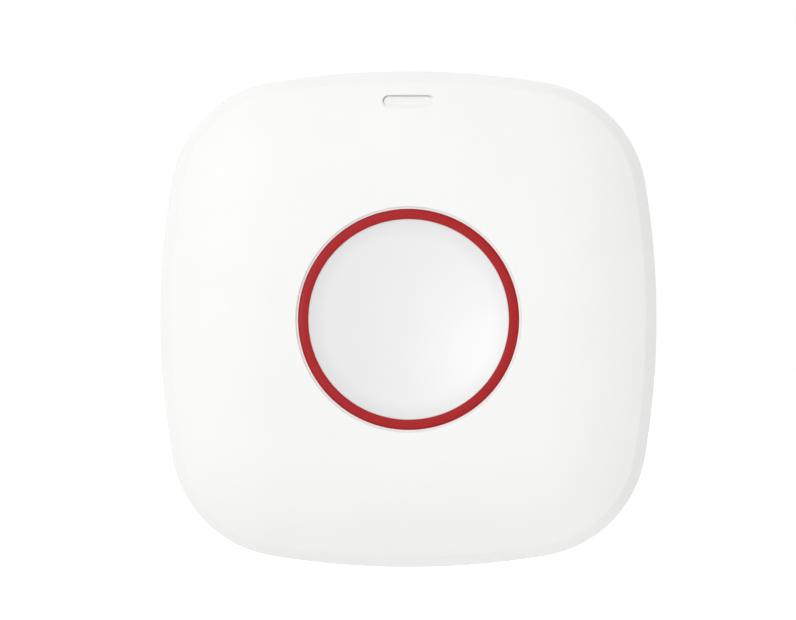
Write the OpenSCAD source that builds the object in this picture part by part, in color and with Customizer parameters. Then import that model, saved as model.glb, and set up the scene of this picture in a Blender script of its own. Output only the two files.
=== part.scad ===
// Wall panic button: a bowed-square case round one large sprung push button, hung on a wall plate.
// Every piece is drawn lying on its back (x right, y up the wall, z out of the wall), with the wall
// at z = 0, and is then stood up so that the front faces -Y and the wall plate's back lies at y = 0.

/* [Case] */
// Width and height of the case across the middle of its bowed sides
body_w = 74; // [66.5:0.5:84]
// Wall to the flat middle of the front face
body_d = 22; // [19.5:0.5:27]
// Plan radius of the bowed sides
side_r = 124; // [100:2:200]
// Plan radius of the corners
corner_r = 18; // [16:0.5:20]
// Thickness of the side walls
wall_t = 2; // [1.6:0.1:2.6]
// Thickness of the front face
face_t = 2.2; // [1.8:0.1:2.8]

/* [Front face] */
// Width of the bevel round the front edge
rim_w = 1.6; // [1:0.1:2.4]
// How far the bevel drops
rim_h = 1.2; // [0.8:0.1:2.4]
// How far the face falls from its flat middle to the bevel
face_fall = 3.3; // [0.8:0.1:4.2]
// Corner radius of the flat middle
flat_corner_r = 1.5; // [0.5:0.1:3]
// Lean of the cover's sides, from the bevel to the seam
side_draft = 0.4; // [0.1:0.1:0.8]

/* [Seam] */
// Wall to the top edge of the rear housing
seam_z = 9; // [8.5:0.1:10]
// Shadow gap between the two shells
seam_gap = 0.5; // [0.2:0.1:0.8]
// Thickness of the cover's edge outside the tongue
skirt_t = 0.9; // [0.7:0.1:1.1]
// Thickness of the rear housing's tongue
tongue_t = 1.1; // [0.8:0.1:1.4]
// Height of the tongue
tongue_h = 1.6; // [1.2:0.1:2]
// Thickness of the seal on the tongue
seal_t = 0.8; // [0.5:0.1:1.2]

/* [Rear housing] */
// How much narrower the back is than the front, on each side
rear_inset = 2.4; // [1.6:0.1:3.2]
// Bevel round the back
back_round = 0.8; // [0.4:0.1:1.2]
// Thickness of the back
floor_t = 1.8; // [1.6:0.1:2.4]
// Air between the wall plate and the back
back_gap = 0.3; // [0.2:0.05:0.6]

/* [Wall plate] */
// Thickness of the wall plate
plate_t = 2.8; // [2.6:0.1:3.4]
// How far the plate's edge lies inside the case's outline
plate_inset = 4.2; // [3.6:0.2:5]
// Radius of the wall screw holes
wall_screw_r = 2.1; // [1.8:0.1:2.3]
// Radius of the wall screws' countersinks at the plate's front
wall_sink_r = 3.8; // [3.2:0.1:4]
// Distance between the two wall screw holes
wall_screw_spacing = 50; // [48:1:52]
// Radius of the studs' necks
stud_neck_r = 2; // [1.6:0.1:2.4]
// Radius of the studs' heads
stud_head_r = 3.4; // [3:0.1:3.8]
// Thickness of the studs' heads
stud_head_t = 1.2; // [0.9:0.1:1.5]
// Distance of the studs from the side of the case
stud_inset = 12; // [11:0.5:12.5]
// Height of the upper studs above the middle
stud_top_y = 14; // [12:0.5:15]
// Depth of the lower studs below the middle
stud_low_y = 8; // [6:0.5:9]
// How far the unit lifts to come free of the studs
lift_travel = 7; // [6.8:0.1:8]
// Air between the battery door and the plate's window, measured along the radius
window_margin = 4; // [2:0.5:4.5]

/* [Button] */
// Outside radius of the red ring
ring_r = 16.42; // [15:0.1:17]
// Width of the red ring
ring_w = 1.47; // [1.2:0.05:2]
// Depth of the ring's seat below its top
ring_h = 2.2; // [1.8:0.1:2.6]
// How far the ring's top lies below the face
ring_drop = 0.2; // [0:0.05:0.6]
// Bevel on the ring's edges
ring_bevel = 0.3; // [0.1:0.05:0.4]
// How far the dish's edge lies below the face
dish_drop = 0.4; // [0.2:0.05:0.8]
// Depth of the dish
dish_depth = 1.6; // [0.8:0.1:2]
// Thickness of the cap under the middle of the dish
cap_t = 1.8; // [1.4:0.1:2.2]
// Thickness of the cap's skirt
skirt_wall = 1.7; // [1.4:0.1:2.4]
// Thickness of the stop flange round the skirt
flange_t = 1.2; // [0.8:0.1:1.6]
// How far the stop flange reaches under the collar
flange_reach = 1.3; // [1:0.1:1.6]
// Travel of the button
button_travel = 1; // [0.6:0.1:1.4]
// Wall of the collar that guides the button
collar_t = 2; // [1.8:0.1:2.4]
// Bevel on the edge of the button hole
lip = 0.33; // [0.2:0.01:0.5]
// Radius of the post that pushes the switch
post_r = 2.2; // [1.8:0.1:2.8]

/* [Indicator] */
// Length of the indicator slot
slot_w = 7.84; // [6:0.1:10]
// Height of the indicator slot
slot_h = 2; // [1.6:0.1:2.4]
// Distance of the slot's middle from the top edge of the case
slot_inset = 4.6; // [4.4:0.1:5.4]
// How far the window lies below the face
window_drop = 0.5; // [0.2:0.1:0.8]
// Thickness of the window's flange
window_flange_t = 1; // [0.8:0.1:1.4]

/* [Battery] */
// Radius of the coin cell
cell_r = 12.25; // [11.5:0.05:12.5]
// Thickness of the coin cell
cell_t = 5; // [4.5:0.1:5.4]
// How far the door's edge reaches past the cell
door_margin = 1.75; // [1.6:0.05:2]
// How far the door's lugs reach under the back
lug_reach = 1.6; // [1.2:0.1:1.8]
// Thickness of the lugs
lug_t = 1.2; // [1:0.1:1.4]
// Angle that each lug spans
lug_angle = 30; // [24:1:34]
// Turn that frees the door
door_turn = 45; // [42:1:50]
// Thickness of the door's seal
door_seal_t = 0.6; // [0.4:0.1:0.8]
// Wall of the battery well
well_t = 1.4; // [1.2:0.1:1.8]
// Width of the coin slot in the door
coin_w = 2.2; // [1.6:0.1:2.8]
// Length of the coin slot
coin_l = 15; // [12:0.5:20]
// Depth of the coin slot
coin_d = 0.9; // [0.6:0.1:1.1]
// Height of the contacts between the cell and the board
contact_h = 0.9; // [0.7:0.1:1.2]
// Thickness of the contact strips
contact_t = 0.3; // [0.2:0.05:0.4]
// Width of the contact strips
contact_w = 4; // [3:0.5:5]
// Length of the leaf contact
leaf_l = 12; // [10:0.5:16]

/* [Circuit board] */
// Thickness of the board
board_t = 1.2; // [1:0.1:1.6]
// How far the board's edge lies inside the case's outline
board_inset = 3.6; // [3.2:0.1:4]
// Side of the switch's square body
switch_w = 6; // [5.6:0.1:7]
// Height of the switch's body
switch_h = 2.4; // [2.2:0.1:3]
// Radius of the switch's plunger
plunger_r = 1.7; // [1.4:0.1:2]
// How far the plunger stands out of the switch
plunger_out = 1.2; // [1:0.05:1.5]
// Side of the control chip
chip_w = 5; // [4:0.5:5]
// Width of the radio module
module_w = 9; // [8:0.5:10]
// Length of the radio module
module_l = 12; // [10:0.5:12.5]
// Coil radius of the antenna, to the middle of its wire
antenna_r = 1.8; // [1.5:0.1:2.1]
// Turns of the antenna
antenna_turns = 9; // [6:1:9]
// Rise of each turn of the antenna
antenna_pitch = 1.4; // [1.2:0.1:1.5]
// Radius of the antenna's wire
antenna_wire_r = 0.35; // [0.25:0.05:0.4]

/* [Springs] */
// Coil radius of the return spring, to the middle of its wire
spring_r = 5.8; // [5.4:0.1:6.2]
// Radius of the return spring's wire
spring_wire_r = 0.35; // [0.25:0.05:0.4]
// Turns of the return spring
spring_turns = 4; // [3:0.5:5]
// Coil radius of the tamper spring, to the middle of its wire
tamper_spring_r = 1.45; // [1.35:0.05:1.7]
// Radius of the tamper spring's wire
tamper_wire_r = 0.18; // [0.12:0.02:0.2]
// Turns of the tamper spring
tamper_turns = 2.5; // [2:0.5:2.5]

/* [Tamper switch] */
// Side of the tamper switch's square body
tamper_w = 5; // [4.4:0.2:5.4]
// Height of the tamper switch's body
tamper_h = 2.2; // [1.8:0.1:2.4]
// Radius of the tamper plunger's rod
tamper_rod_r = 0.9; // [0.7:0.05:1]
// Radius of the tamper plunger's flange
tamper_flange_r = 1.9; // [1.8:0.1:2.2]
// Thickness of the tamper plunger's flange
tamper_flange_t = 0.4; // [0.3:0.1:0.6]
// How far the tamper plunger comes out as the unit lifts
tamper_travel = 1; // [0.7:0.05:1]
// Distance of the tamper switch from the middle, to the right
tamper_x = 15; // [14.5:0.1:15.5]
// Distance of the tamper switch from the bottom edge of the case
tamper_inset = 15; // [14.5:0.1:15.5]

/* [Screws] */
// Radius of the housing screws' shanks
case_screw_r = 1.25; // [1:0.05:1.4]
// Length of the housing screws' shanks
case_screw_l = 9; // [7:0.5:10]
// Radius of the housing screws' heads
case_head_r = 2.2; // [2:0.1:2.4]
// Height of the housing screws' heads
case_head_h = 1.5; // [1.2:0.1:1.8]
// Depth of the recess that each housing screw's head goes into
case_recess = 3; // [2.2:0.1:3.2]
// Radius of the screw pillars
pillar_r = 3.4; // [3.2:0.1:3.6]
// Distance of the screw pillars from the corners, along the diagonal
pillar_inset = 6.8; // [6.5:0.1:7.2]
// Radius of the board screws' shanks
board_screw_r = 0.9; // [0.8:0.05:1.1]
// Length of the board screws' shanks
board_screw_l = 5.5; // [4:0.5:6]
// Radius of the board screws' heads
board_head_r = 1.8; // [1.6:0.1:2]
// Height of the board screws' heads
board_head_h = 1.2; // [1:0.1:1.4]
// Radius of the posts that the board is screwed to
board_post_r = 2.4; // [2.2:0.1:2.6]

/* [Fits] */
// Air between the ring and the button hole, measured along the radius
button_gap = 0.15; // [0.1:0.01:0.25]
// Air between sliding or turning pieces, measured along the radius
slide_gap = 0.2; // [0.1:0.01:0.3]
// Air between pieces that are assembled and stay put
fit_gap = 0.1; // [0.05:0.01:0.15]
// Air left where one moving piece stops or pushes against another
touch_gap = 0.05; // [0.03:0.01:0.1]

/* [Hidden] */
$fn = 96;
// Extra length of a cut past the face it opens
cut = 1;
// Points on each turn of a coil
coil_steps = 16;
// Points on each round end of a slot
end_steps = 12;

// Outline: four bowed sides joined by corner arcs that leave them smoothly
half_w = body_w / 2;
side_c = side_r - half_w;
corner_c = (sqrt(2 * pow(side_r - corner_r, 2) - side_c * side_c) - side_c) / 2;
join_a = atan2(corner_c, corner_c + side_c);
side_steps = 8;
corner_steps = 12;

// Front face: flat middle, rounded fall, bevel
face_z = body_d;
edge_z = face_z - face_fall;
rim_z = edge_z - rim_h;
flat_in = corner_r - flat_corner_r;
fall_run = flat_in - rim_w;
fall_r = (fall_run * fall_run + face_fall * face_fall) / (2 * face_fall);
fall_steps = 8;
cavity_in = side_draft + wall_t;

// Seam
cover_z = seam_z + seam_gap;
tongue_in = side_draft + skirt_t + fit_gap;
tongue_out = tongue_in + tongue_t;
seal_z = seam_z + tongue_h;

// Depth stack, from the wall outwards
back_z = plate_t + back_gap;
floor_z = back_z + floor_t;
cell_z = floor_z + fit_gap;
board_z = cell_z + cell_t + contact_h;
board_top = board_z + board_t;
switch_top = board_top + switch_h;
plunger_top = switch_top + plunger_out;
plunger_foot = 0.8;

// Wall plate
stud_x = half_w - stud_inset;
stud_head_z = floor_z + fit_gap;
stud_top_z = stud_head_z + stud_head_t;
pocket_z = stud_top_z + slide_gap;
pocket_wall = 1;
stud_spots = [for (x = [-stud_x, stud_x]) for (y = [stud_top_y, -stud_low_y]) [x, y]];

// Button
hole_r = ring_r + button_gap;
collar_r = hole_r + collar_t;
cap_r = hole_r - slide_gap;
dish_r = ring_r - ring_w;
ring_top = face_z - ring_drop;
ring_z = ring_top - ring_h;
dish_edge_z = face_z - dish_drop;
dish_z = dish_edge_z - dish_depth;
dish_sphere_r = (dish_r * dish_r + dish_depth * dish_depth) / (2 * dish_depth);
cap_under_z = dish_z - cap_t;
flange_r = cap_r + flange_reach;
flange_air = 0.4;
flange_z = board_top + button_travel + flange_air;
collar_z = flange_z + flange_t + touch_gap;
skirt_r = cap_r - skirt_wall;
spring_rib_t = 0.8;
spring_rib_h = 1;

// Indicator
slot_y = half_w - slot_inset;
window_lip = 1;
seat_depth = 2.4;
seat_z = edge_z - seat_depth;
led_h = 0.9;

// Battery well and door
door_r = cell_r + door_margin;
door_hole_r = door_r + slide_gap;
lug_r = door_r + lug_reach;
channel_r = lug_r + slide_gap;
lug_z = floor_z + fit_gap;
lug_top = lug_z + lug_t;
shelf_z = lug_top + touch_gap + door_seal_t;
shelf_t = 1;
well_r = cell_r + 2 * slide_gap;
well_top = cell_z + cell_t;
door_ring_in = cell_r + slide_gap;
door_ring_out = door_r - slide_gap;
lug_count = 3;
stop_angle = 4;
lug_slack = 3;

// Tamper switch
tamper_y = -(half_w - tamper_inset);
tamper_low = board_z - tamper_h;
tamper_flange_z = floor_z + tamper_travel + fit_gap;
tamper_spring_z = tamper_flange_z + tamper_flange_t;
tamper_tip_z = plate_t + touch_gap;
ramp_w = 2 * (tamper_rod_r + 3 * slide_gap);

// Screws
pillar_xy = corner_c + (corner_r - pillar_inset) / sqrt(2);
pillar_spots = [for (x = [-1, 1]) for (y = [-1, 1]) [x * pillar_xy, y * pillar_xy]];
case_seat_z = back_z + case_recess;
post_side_inset = 13.5;
post_side_y = 8;
post_low_x = 12;
post_low_gap = 5;
post_spots = [for (x = [-1, 1]) each [
    [x * (half_w - post_side_inset), post_side_y], [x * post_low_x, tamper_y - post_low_gap]
]];
thread_gap = 0.05;
pilot_spare = 0.6;

// Board parts that stand outside the button's collar
part_inset = 11;
part_gap = 1;
part_low_y = -(pillar_xy - pillar_r - part_gap);
module_x = part_inset - half_w;
module_y = part_low_y + module_l / 2;
antenna_x = half_w - part_inset;
antenna_y = part_low_y + antenna_wire_r;
antenna_z = (board_top + fall_z(part_inset) - face_t) / 2;
capacitor_size = [1.6, 0.8, 0.8];
capacitor_pitch = 2 * capacitor_size.x;
capacitor_count = 5;
capacitor_inset = 9;

// Control chip and crystal, on either side of the switch
chip_x = 9.6;
chip_h = 0.9;
crystal_size = [3.2, 5, 1.2];

// Points of the outline, moved inwards by inset
function turn(p, a) = [p.x * cos(a) - p.y * sin(a), p.x * sin(a) + p.y * cos(a)];
function arc(c, r, a0, a1, n) =
    [for (i = [0 : n - 1]) let (a = a0 + (a1 - a0) * i / n) c + r * [cos(a), sin(a)]];
function quarter(inset) = concat(
    arc([-side_c, 0], side_r - inset, -join_a, join_a, side_steps),
    arc([corner_c, corner_c], corner_r - inset, join_a, 90 - join_a, corner_steps)
);
function outline(inset) = [for (q = [0 : 3]) for (p = quarter(inset)) turn(p, 90 * q)];

// Height of the front face at a distance inside the outline
function fall_z(inset) =
    inset >= flat_in ? face_z : face_z - fall_r + sqrt(fall_r * fall_r - pow(flat_in - inset, 2));

// Long slot with round ends along x
function pill(w, h) = concat(
    arc([(w - h) / 2, 0], h / 2, -90, 90, end_steps), [[(w - h) / 2, h / 2]],
    arc([-(w - h) / 2, 0], h / 2, 90, 270, end_steps), [[-(w - h) / 2, -h / 2]]
);

// Points of a helix along z
function helix(r, turns, z0, z1, steps) =
    [for (i = [0 : turns * steps]) let (a = 360 * i / steps, f = i / (turns * steps))
        [r * cos(a), r * sin(a), z0 + (z1 - z0) * f]];
function unit(v) = v / norm(v);

// Stands a piece up against the wall
module upright() {
    rotate([90, 0, 0]) children();
}

// Solid through a stack of outlines, each given as its inset and height
module loft(levels) {
    n = len(outline(0));
    last = len(levels) - 1;
    points = [for (l = levels) for (p = outline(l[0])) [p.x, p.y, l[1]]];
    sides = [for (i = [0 : last - 1]) for (j = [0 : n - 1]) let (k = (j + 1) % n)
        [i * n + j, (i + 1) * n + j, (i + 1) * n + k, i * n + k]];
    bottom = [for (j = [0 : n - 1]) j];
    top = [for (j = [n - 1 : -1 : 0]) last * n + j];
    polyhedron(points, concat([bottom], sides, [top]));
}

// Plate in the shape of the outline
module slab(inset, z0, z1) {
    translate([0, 0, z0]) linear_extrude(z1 - z0) polygon(outline(inset));
}

// Band between two outlines
module band(inset_a, inset_b, z0, z1) {
    translate([0, 0, z0]) linear_extrude(z1 - z0) difference() {
        polygon(outline(inset_a));
        polygon(outline(inset_b));
    }
}

// Cylinder between two heights
module rod(r, z0, z1) {
    translate([0, 0, z0]) cylinder(h = z1 - z0, r = r);
}

// Ring between two radii and two heights, over an angle
module ring(r0, r1, z0, z1, a0 = 0, a1 = 360) {
    rotate([0, 0, a0]) rotate_extrude(angle = a1 - a0) translate([r0, z0]) square([r1 - r0, z1 - z0]);
}

// Block centred in plan on a point
module block(size, at, z) {
    translate([at.x - size.x / 2, at.y - size.y / 2, z]) cube(size);
}

// Round wire along a path that never runs along the direction ref
module wire(path, r, ref, sides = 8) {
    last = len(path) - 1;
    points = [for (i = [0 : last])
        let (t = unit(path[min(i + 1, last)] - path[max(i - 1, 0)]), u = unit(cross(t, ref)), v = cross(t, u))
        for (j = [0 : sides - 1]) path[i] + r * (cos(360 * j / sides) * u + sin(360 * j / sides) * v)];
    faces = [for (i = [0 : last - 1]) for (j = [0 : sides - 1]) let (k = (j + 1) % sides)
        [i * sides + j, (i + 1) * sides + j, (i + 1) * sides + k, i * sides + k]];
    near = [for (j = [0 : sides - 1]) j];
    far = [for (j = [sides - 1 : -1 : 0]) last * sides + j];
    polyhedron(points, concat([near], faces, [far]));
}

// Pan-head screw with a cross recess, its head's underside at z
module screw(shank_r, shank_l, head_r, head_h, z) {
    tip = shank_r / 2;
    recess_w = head_r / 4;
    recess_l = head_r * 1.2;
    difference() {
        rotate_extrude() polygon([
            [0, z - head_h], [head_r, z - head_h], [head_r, z], [shank_r, z],
            [shank_r, z + shank_l - tip], [shank_r - tip, z + shank_l], [0, z + shank_l]
        ]);
        for (size = [[recess_w, recess_l], [recess_l, recess_w]])
            translate([-size.x / 2, -size.y / 2, z - head_h - cut]) cube([size.x, size.y, cut + head_h / 2]);
    }
}

// Wall plate: screwed to the wall, with a window for the battery door and four mushroom studs
module stud() {
    bevel = stud_head_t / 3;
    rotate_extrude() polygon([
        [0, plate_t / 2], [stud_neck_r, plate_t / 2], [stud_neck_r, stud_head_z], [stud_head_r, stud_head_z],
        [stud_head_r, stud_top_z - bevel], [stud_head_r - bevel, stud_top_z], [0, stud_top_z]
    ]);
}

module wall_screw_hole() {
    sink = wall_sink_r - wall_screw_r;
    rod(wall_screw_r, -cut, plate_t + cut);
    translate([0, 0, plate_t - sink]) cylinder(h = sink + cut, r1 = wall_screw_r, r2 = wall_sink_r + cut);
}

// Slope that lets the tamper plunger out in step with the lift
module tamper_ramp() {
    low = tamper_y - tamper_rod_r;
    run = lift_travel + 3 * tamper_rod_r;
    drop = run * tamper_travel / lift_travel;
    translate([tamper_x - ramp_w / 2, 0, 0]) rotate([90, 0, 90]) linear_extrude(ramp_w)
        polygon([
            [low, plate_t], [low, plate_t + cut],
            [low + run, plate_t + cut], [low + run, plate_t - drop]
        ]);
}

module wall_plate() {
    color("gainsboro") upright() difference() {
        union() {
            slab(plate_inset, 0, plate_t);
            for (p = stud_spots) translate(p) stud();
        }
        rod(door_r + window_margin, -cut, plate_t + cut);
        for (s = [-1, 1]) translate([0, s * wall_screw_spacing / 2, 0]) wall_screw_hole();
        tamper_ramp();
    }
}

// Rear housing: back shell with keyhole pockets, battery well, screw pillars and tongue
module keyhole_pocket() {
    reach = stud_head_r + slide_gap + pocket_wall;
    translate([0, -lift_travel / 2, floor_z - floor_t / 2]) rotate([0, 0, 90])
        linear_extrude(pocket_z + pocket_wall - floor_z + floor_t / 2)
            polygon(pill(lift_travel + 2 * reach, 2 * reach));
}

module keyhole() {
    reach = stud_head_r + slide_gap;
    neck = stud_neck_r + slide_gap;
    translate([0, -lift_travel / 2, floor_z]) rotate([0, 0, 90]) linear_extrude(pocket_z - floor_z)
        polygon(pill(lift_travel + 2 * reach, 2 * reach));
    translate([0, -lift_travel / 2, back_z - cut]) rotate([0, 0, 90]) linear_extrude(floor_t + 2 * cut)
        polygon(pill(lift_travel + 2 * neck, 2 * neck));
    translate([0, -lift_travel, 0]) rod(reach, back_z - cut, floor_z + cut);
}

module battery_well() {
    rotate_extrude() polygon([
        [channel_r, floor_z - floor_t / 2], [channel_r + well_t, floor_z - floor_t / 2],
        [channel_r + well_t, shelf_z + shelf_t], [well_r + well_t, shelf_z + shelf_t],
        [well_r + well_t, well_top], [well_r, well_top], [well_r, shelf_z], [channel_r, shelf_z]
    ]);
    for (i = [0 : lug_count - 1])
        ring(lug_r - lug_reach / 2, channel_r + well_t / 2, floor_z - floor_t / 2, shelf_z + shelf_t / 2,
            360 * i / lug_count + lug_angle + lug_slack / 3, 360 * i / lug_count + lug_angle + stop_angle);
}

module door_opening() {
    rod(door_hole_r, back_z - cut, floor_z + fit_gap / 2);
    for (i = [0 : lug_count - 1])
        ring(door_r - lug_reach, channel_r, back_z - cut, floor_z + fit_gap / 2,
            360 * i / lug_count - door_turn - lug_slack,
            360 * i / lug_count - door_turn + lug_angle + lug_slack);
}

module contact_slot() {
    w = contact_w + 4 * slide_gap;
    translate([-w / 2, -well_r - well_t - cut, shelf_z + shelf_t])
        cube([w, well_t + 2 * cut, well_top - shelf_z]);
}

module rear_housing() {
    color("whitesmoke") upright() difference() {
        union() {
            difference() {
                loft([
                    [rear_inset + back_round, back_z], [rear_inset, back_z + back_round],
                    [side_draft, seam_z]
                ]);
                loft([
                    [rear_inset + wall_t, floor_z], [tongue_out, seam_z - tongue_h],
                    [tongue_out, seam_z + cut]
                ]);
            }
            band(tongue_in, tongue_out, seam_z - tongue_h / 2, seal_z);
            for (p = pillar_spots) translate(p) rod(pillar_r, floor_z - floor_t / 2, cover_z);
            for (p = stud_spots) translate(p) keyhole_pocket();
            battery_well();
        }
        for (p = stud_spots) translate(p) keyhole();
        for (p = pillar_spots) translate(p) {
            rod(case_head_r + slide_gap, back_z - cut, case_seat_z);
            rod(case_screw_r + fit_gap, back_z, cover_z + cut);
        }
        door_opening();
        contact_slot();
        translate([tamper_x, tamper_y, 0]) rod(tamper_rod_r + slide_gap, back_z - cut, floor_z + cut);
    }
}

// Front cover: face, bevel and sides, with the button's collar, screw bosses and window seat inside
module cover_shape() {
    fall = [for (i = [0 : fall_steps]) rim_w + fall_run * i / fall_steps];
    loft(concat([[side_draft, cover_z], [0, rim_z]], [for (u = fall) [u, fall_z(u)]]));
}

module cover_hollow() {
    near = cavity_in + rim_w;
    steps = 3;
    roof = [for (i = [0 : steps]) near + (flat_in - near) * i / steps];
    loft(concat(
        [[cavity_in, cover_z - cut], [cavity_in, rim_z - face_t]], [for (u = roof) [u, fall_z(u) - face_t]]
    ));
    slab(side_draft + skirt_t, cover_z - cut, seal_z + seal_t);
}

module window_seat() {
    w = slot_w + 2 * window_lip + 2 * wall_t;
    h = slot_h + 2 * window_lip;
    block([w, h, face_z], [0, slot_y], seat_z);
}

// Flange of the indicator window, or with a gap the pocket that it seats in
module window_flange(gap) {
    translate([0, 0, seat_z - window_flange_t - 2 * gap]) linear_extrude(window_flange_t + 2 * gap)
        polygon(pill(slot_w + window_lip + 2 * gap, slot_h + window_lip + 2 * gap));
}

module front_cover() {
    color("white") upright() difference() {
        cover_shape();
        difference() {
            cover_hollow();
            rod(collar_r, collar_z, face_z);
            for (p = pillar_spots) translate(p) rod(pillar_r, cover_z - 2 * cut, face_z);
            for (p = post_spots) translate(p) rod(board_post_r, board_top, face_z);
            window_seat();
        }
        rod(hole_r, collar_z - cut, face_z + cut);
        translate([0, 0, face_z - lip]) cylinder(h = lip + cut, r1 = hole_r, r2 = hole_r + lip + cut);
        translate([0, slot_y, seat_z - cut]) linear_extrude(face_z - seat_z + 2 * cut)
            polygon(pill(slot_w, slot_h));
        translate([0, slot_y, 0]) window_flange(fit_gap);
        for (p = pillar_spots) translate(p)
            rod(case_screw_r + thread_gap, cover_z - cut, case_seat_z + case_screw_l + pilot_spare);
        for (p = post_spots) translate(p)
            rod(board_screw_r + thread_gap, board_top - cut, board_z + board_screw_l + pilot_spare);
    }
}

// Seal on the tongue
module housing_seal() {
    color("dimgray") upright() band(tongue_in, tongue_out, seal_z, seal_z + seal_t);
}

// Indicator window: slot filler, flange behind the face and light guide down to the lamp
module led_window() {
    guide_z = board_top + led_h + 3 * fit_gap;
    color("snow") upright() translate([0, slot_y, 0]) {
        intersection() {
            translate([0, 0, seat_z - window_flange_t / 2]) linear_extrude(face_z - seat_z)
                polygon(pill(slot_w - 2 * fit_gap, slot_h - 2 * fit_gap));
            translate([0, -slot_y, -window_drop]) cover_shape();
        }
        window_flange(0);
        translate([0, 0, guide_z]) linear_extrude(seat_z - window_flange_t / 2 - guide_z)
            polygon(pill(slot_w / 2, slot_h));
    }
}

// Button cap: concave dish, shoulder for the ring, skirt with stop flange, post and spring rib
module button_cap() {
    rib_in = spring_r + spring_wire_r + slide_gap;
    color("gainsboro") upright() {
        rotate_extrude() difference() {
            polygon([
                [0, cap_under_z], [skirt_r, cap_under_z], [skirt_r, flange_z], [flange_r, flange_z],
                [flange_r, flange_z + flange_t], [cap_r, flange_z + flange_t], [cap_r, ring_z],
                [dish_r - fit_gap, ring_z], [dish_r - fit_gap, dish_edge_z], [0, dish_edge_z]
            ]);
            translate([0, dish_z + dish_sphere_r]) circle(dish_sphere_r);
        }
        rod(post_r, plunger_top + touch_gap, cap_under_z + cap_t / 2);
        ring(rib_in, rib_in + spring_rib_t, cap_under_z - spring_rib_h, cap_under_z + cap_t / 2);
    }
}

// Red ring on the cap's shoulder
module button_ring() {
    color("firebrick") upright() rotate_extrude() polygon([
        [dish_r, ring_z], [ring_r, ring_z], [ring_r, ring_top - ring_bevel],
        [ring_r - ring_bevel, ring_top], [dish_r + ring_bevel, ring_top], [dish_r, ring_top - ring_bevel]
    ]);
}

// Spring that lifts the button off the switch
module return_spring() {
    ends = spring_wire_r + fit_gap;
    path = helix(spring_r, spring_turns, board_top + ends, cap_under_z - ends, coil_steps);
    color("silver") upright() wire(path, spring_wire_r, [0, 0, 1]);
}

// Circuit board, cut back round the corner pillars
module circuit_board() {
    notch = pillar_xy - pillar_r - 4 * fit_gap;
    color("seagreen") upright() difference() {
        translate([0, 0, board_z]) linear_extrude(board_t) difference() {
            polygon(outline(board_inset));
            for (a = [0 : 90 : 270]) rotate(a) translate([notch, notch]) square(half_w);
        }
        for (p = post_spots) translate(p) rod(board_screw_r + fit_gap, board_z - cut, board_top + cut);
    }
}

// Push switch under the button's post
module switch_body() {
    lead = [1, 0.7, 0.25];
    bore_depth = plunger_foot + button_travel + fit_gap;
    color("#303030") upright() difference() {
        union() {
            block([switch_w, switch_w, switch_h], [0, 0], board_top);
            for (x = [-1, 1]) for (y = [-1, 1])
                block(lead, [x * switch_w / 2, y * switch_w / 3], board_top);
        }
        rod(plunger_r + fit_gap, switch_top - bore_depth, switch_top + cut);
    }
}

module switch_plunger() {
    bevel = 0.3;
    color("#202020") upright() rotate_extrude() polygon([
        [0, switch_top - plunger_foot], [plunger_r, switch_top - plunger_foot],
        [plunger_r, plunger_top - bevel], [plunger_r - bevel, plunger_top], [0, plunger_top]
    ]);
}

// Lamp under the indicator window
module status_led() {
    size = [3.4, 2.6, led_h / 2];
    lens_r = 1;
    color("ivory") upright() {
        block(size, [0, slot_y], board_top);
        translate([0, slot_y, 0]) rod(lens_r, board_top + size.z / 2, board_top + led_h);
    }
}

// Control chip with a bevelled first corner and a dimple
module control_chip() {
    s = chip_w / 2;
    bevel = chip_w / 10;
    dimple = chip_h / 10;
    color("#252525") upright() translate([-chip_x, 0, board_top]) difference() {
        linear_extrude(chip_h) polygon([[-s, -s], [s, -s], [s, s], [-s + bevel, s], [-s, s - bevel]]);
        translate([-s + 3 * bevel, s - 3 * bevel, 0]) rod(bevel, chip_h - dimple, chip_h + cut);
    }
}

// Radio module: carrier with a shield can
module radio_module() {
    carrier_h = 0.8;
    can_h = 1.6;
    margin = 0.5;
    aerial_end = 2.4;
    color("lightsteelblue") upright() {
        block([module_w, module_l, carrier_h], [module_x, module_y], board_top);
        block([module_w - 2 * margin, module_l - margin - aerial_end, can_h],
            [module_x, module_y - (aerial_end - margin) / 2], board_top + carrier_h / 2);
    }
}

// Antenna: open helix along y, its first end led down to the board
module antenna() {
    coil = helix(antenna_r, antenna_turns, 0, antenna_turns * antenna_pitch, coil_steps);
    turned = [for (p = coil) [antenna_x + p.x, antenna_y + p.z, antenna_z + p.y]];
    foot = [antenna_x + antenna_r, antenna_y, board_top];
    color("goldenrod") upright() wire(concat([foot], turned), antenna_wire_r, [0, 1, 0]);
}

// Crystal in a low can
module crystal() {
    color("silver") upright() translate([chip_x, 0, board_top]) rotate([0, 0, 90])
        linear_extrude(crystal_size.z) polygon(pill(crystal_size.y, crystal_size.x));
}

// Small capacitors in a row above the button
module chip_capacitors() {
    first_x = -(capacitor_count - 1) * capacitor_pitch / 2;
    color("tan") upright() for (i = [0 : capacitor_count - 1])
        block(capacitor_size, [first_x + i * capacitor_pitch, half_w - capacitor_inset], board_top);
}

// Coin cell, its larger face towards the door
module coin_cell() {
    step_h = 0.4;
    step_w = 1.4;
    step_r = cell_r - step_w;
    edge = 0.3;
    color("lightgray") upright() rotate_extrude() polygon([
        [0, cell_z], [cell_r - edge, cell_z], [cell_r, cell_z + edge], [cell_r, cell_z + cell_t - step_h],
        [step_r, cell_z + cell_t - step_h], [step_r, cell_z + cell_t], [0, cell_z + cell_t]
    ]);
}

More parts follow.
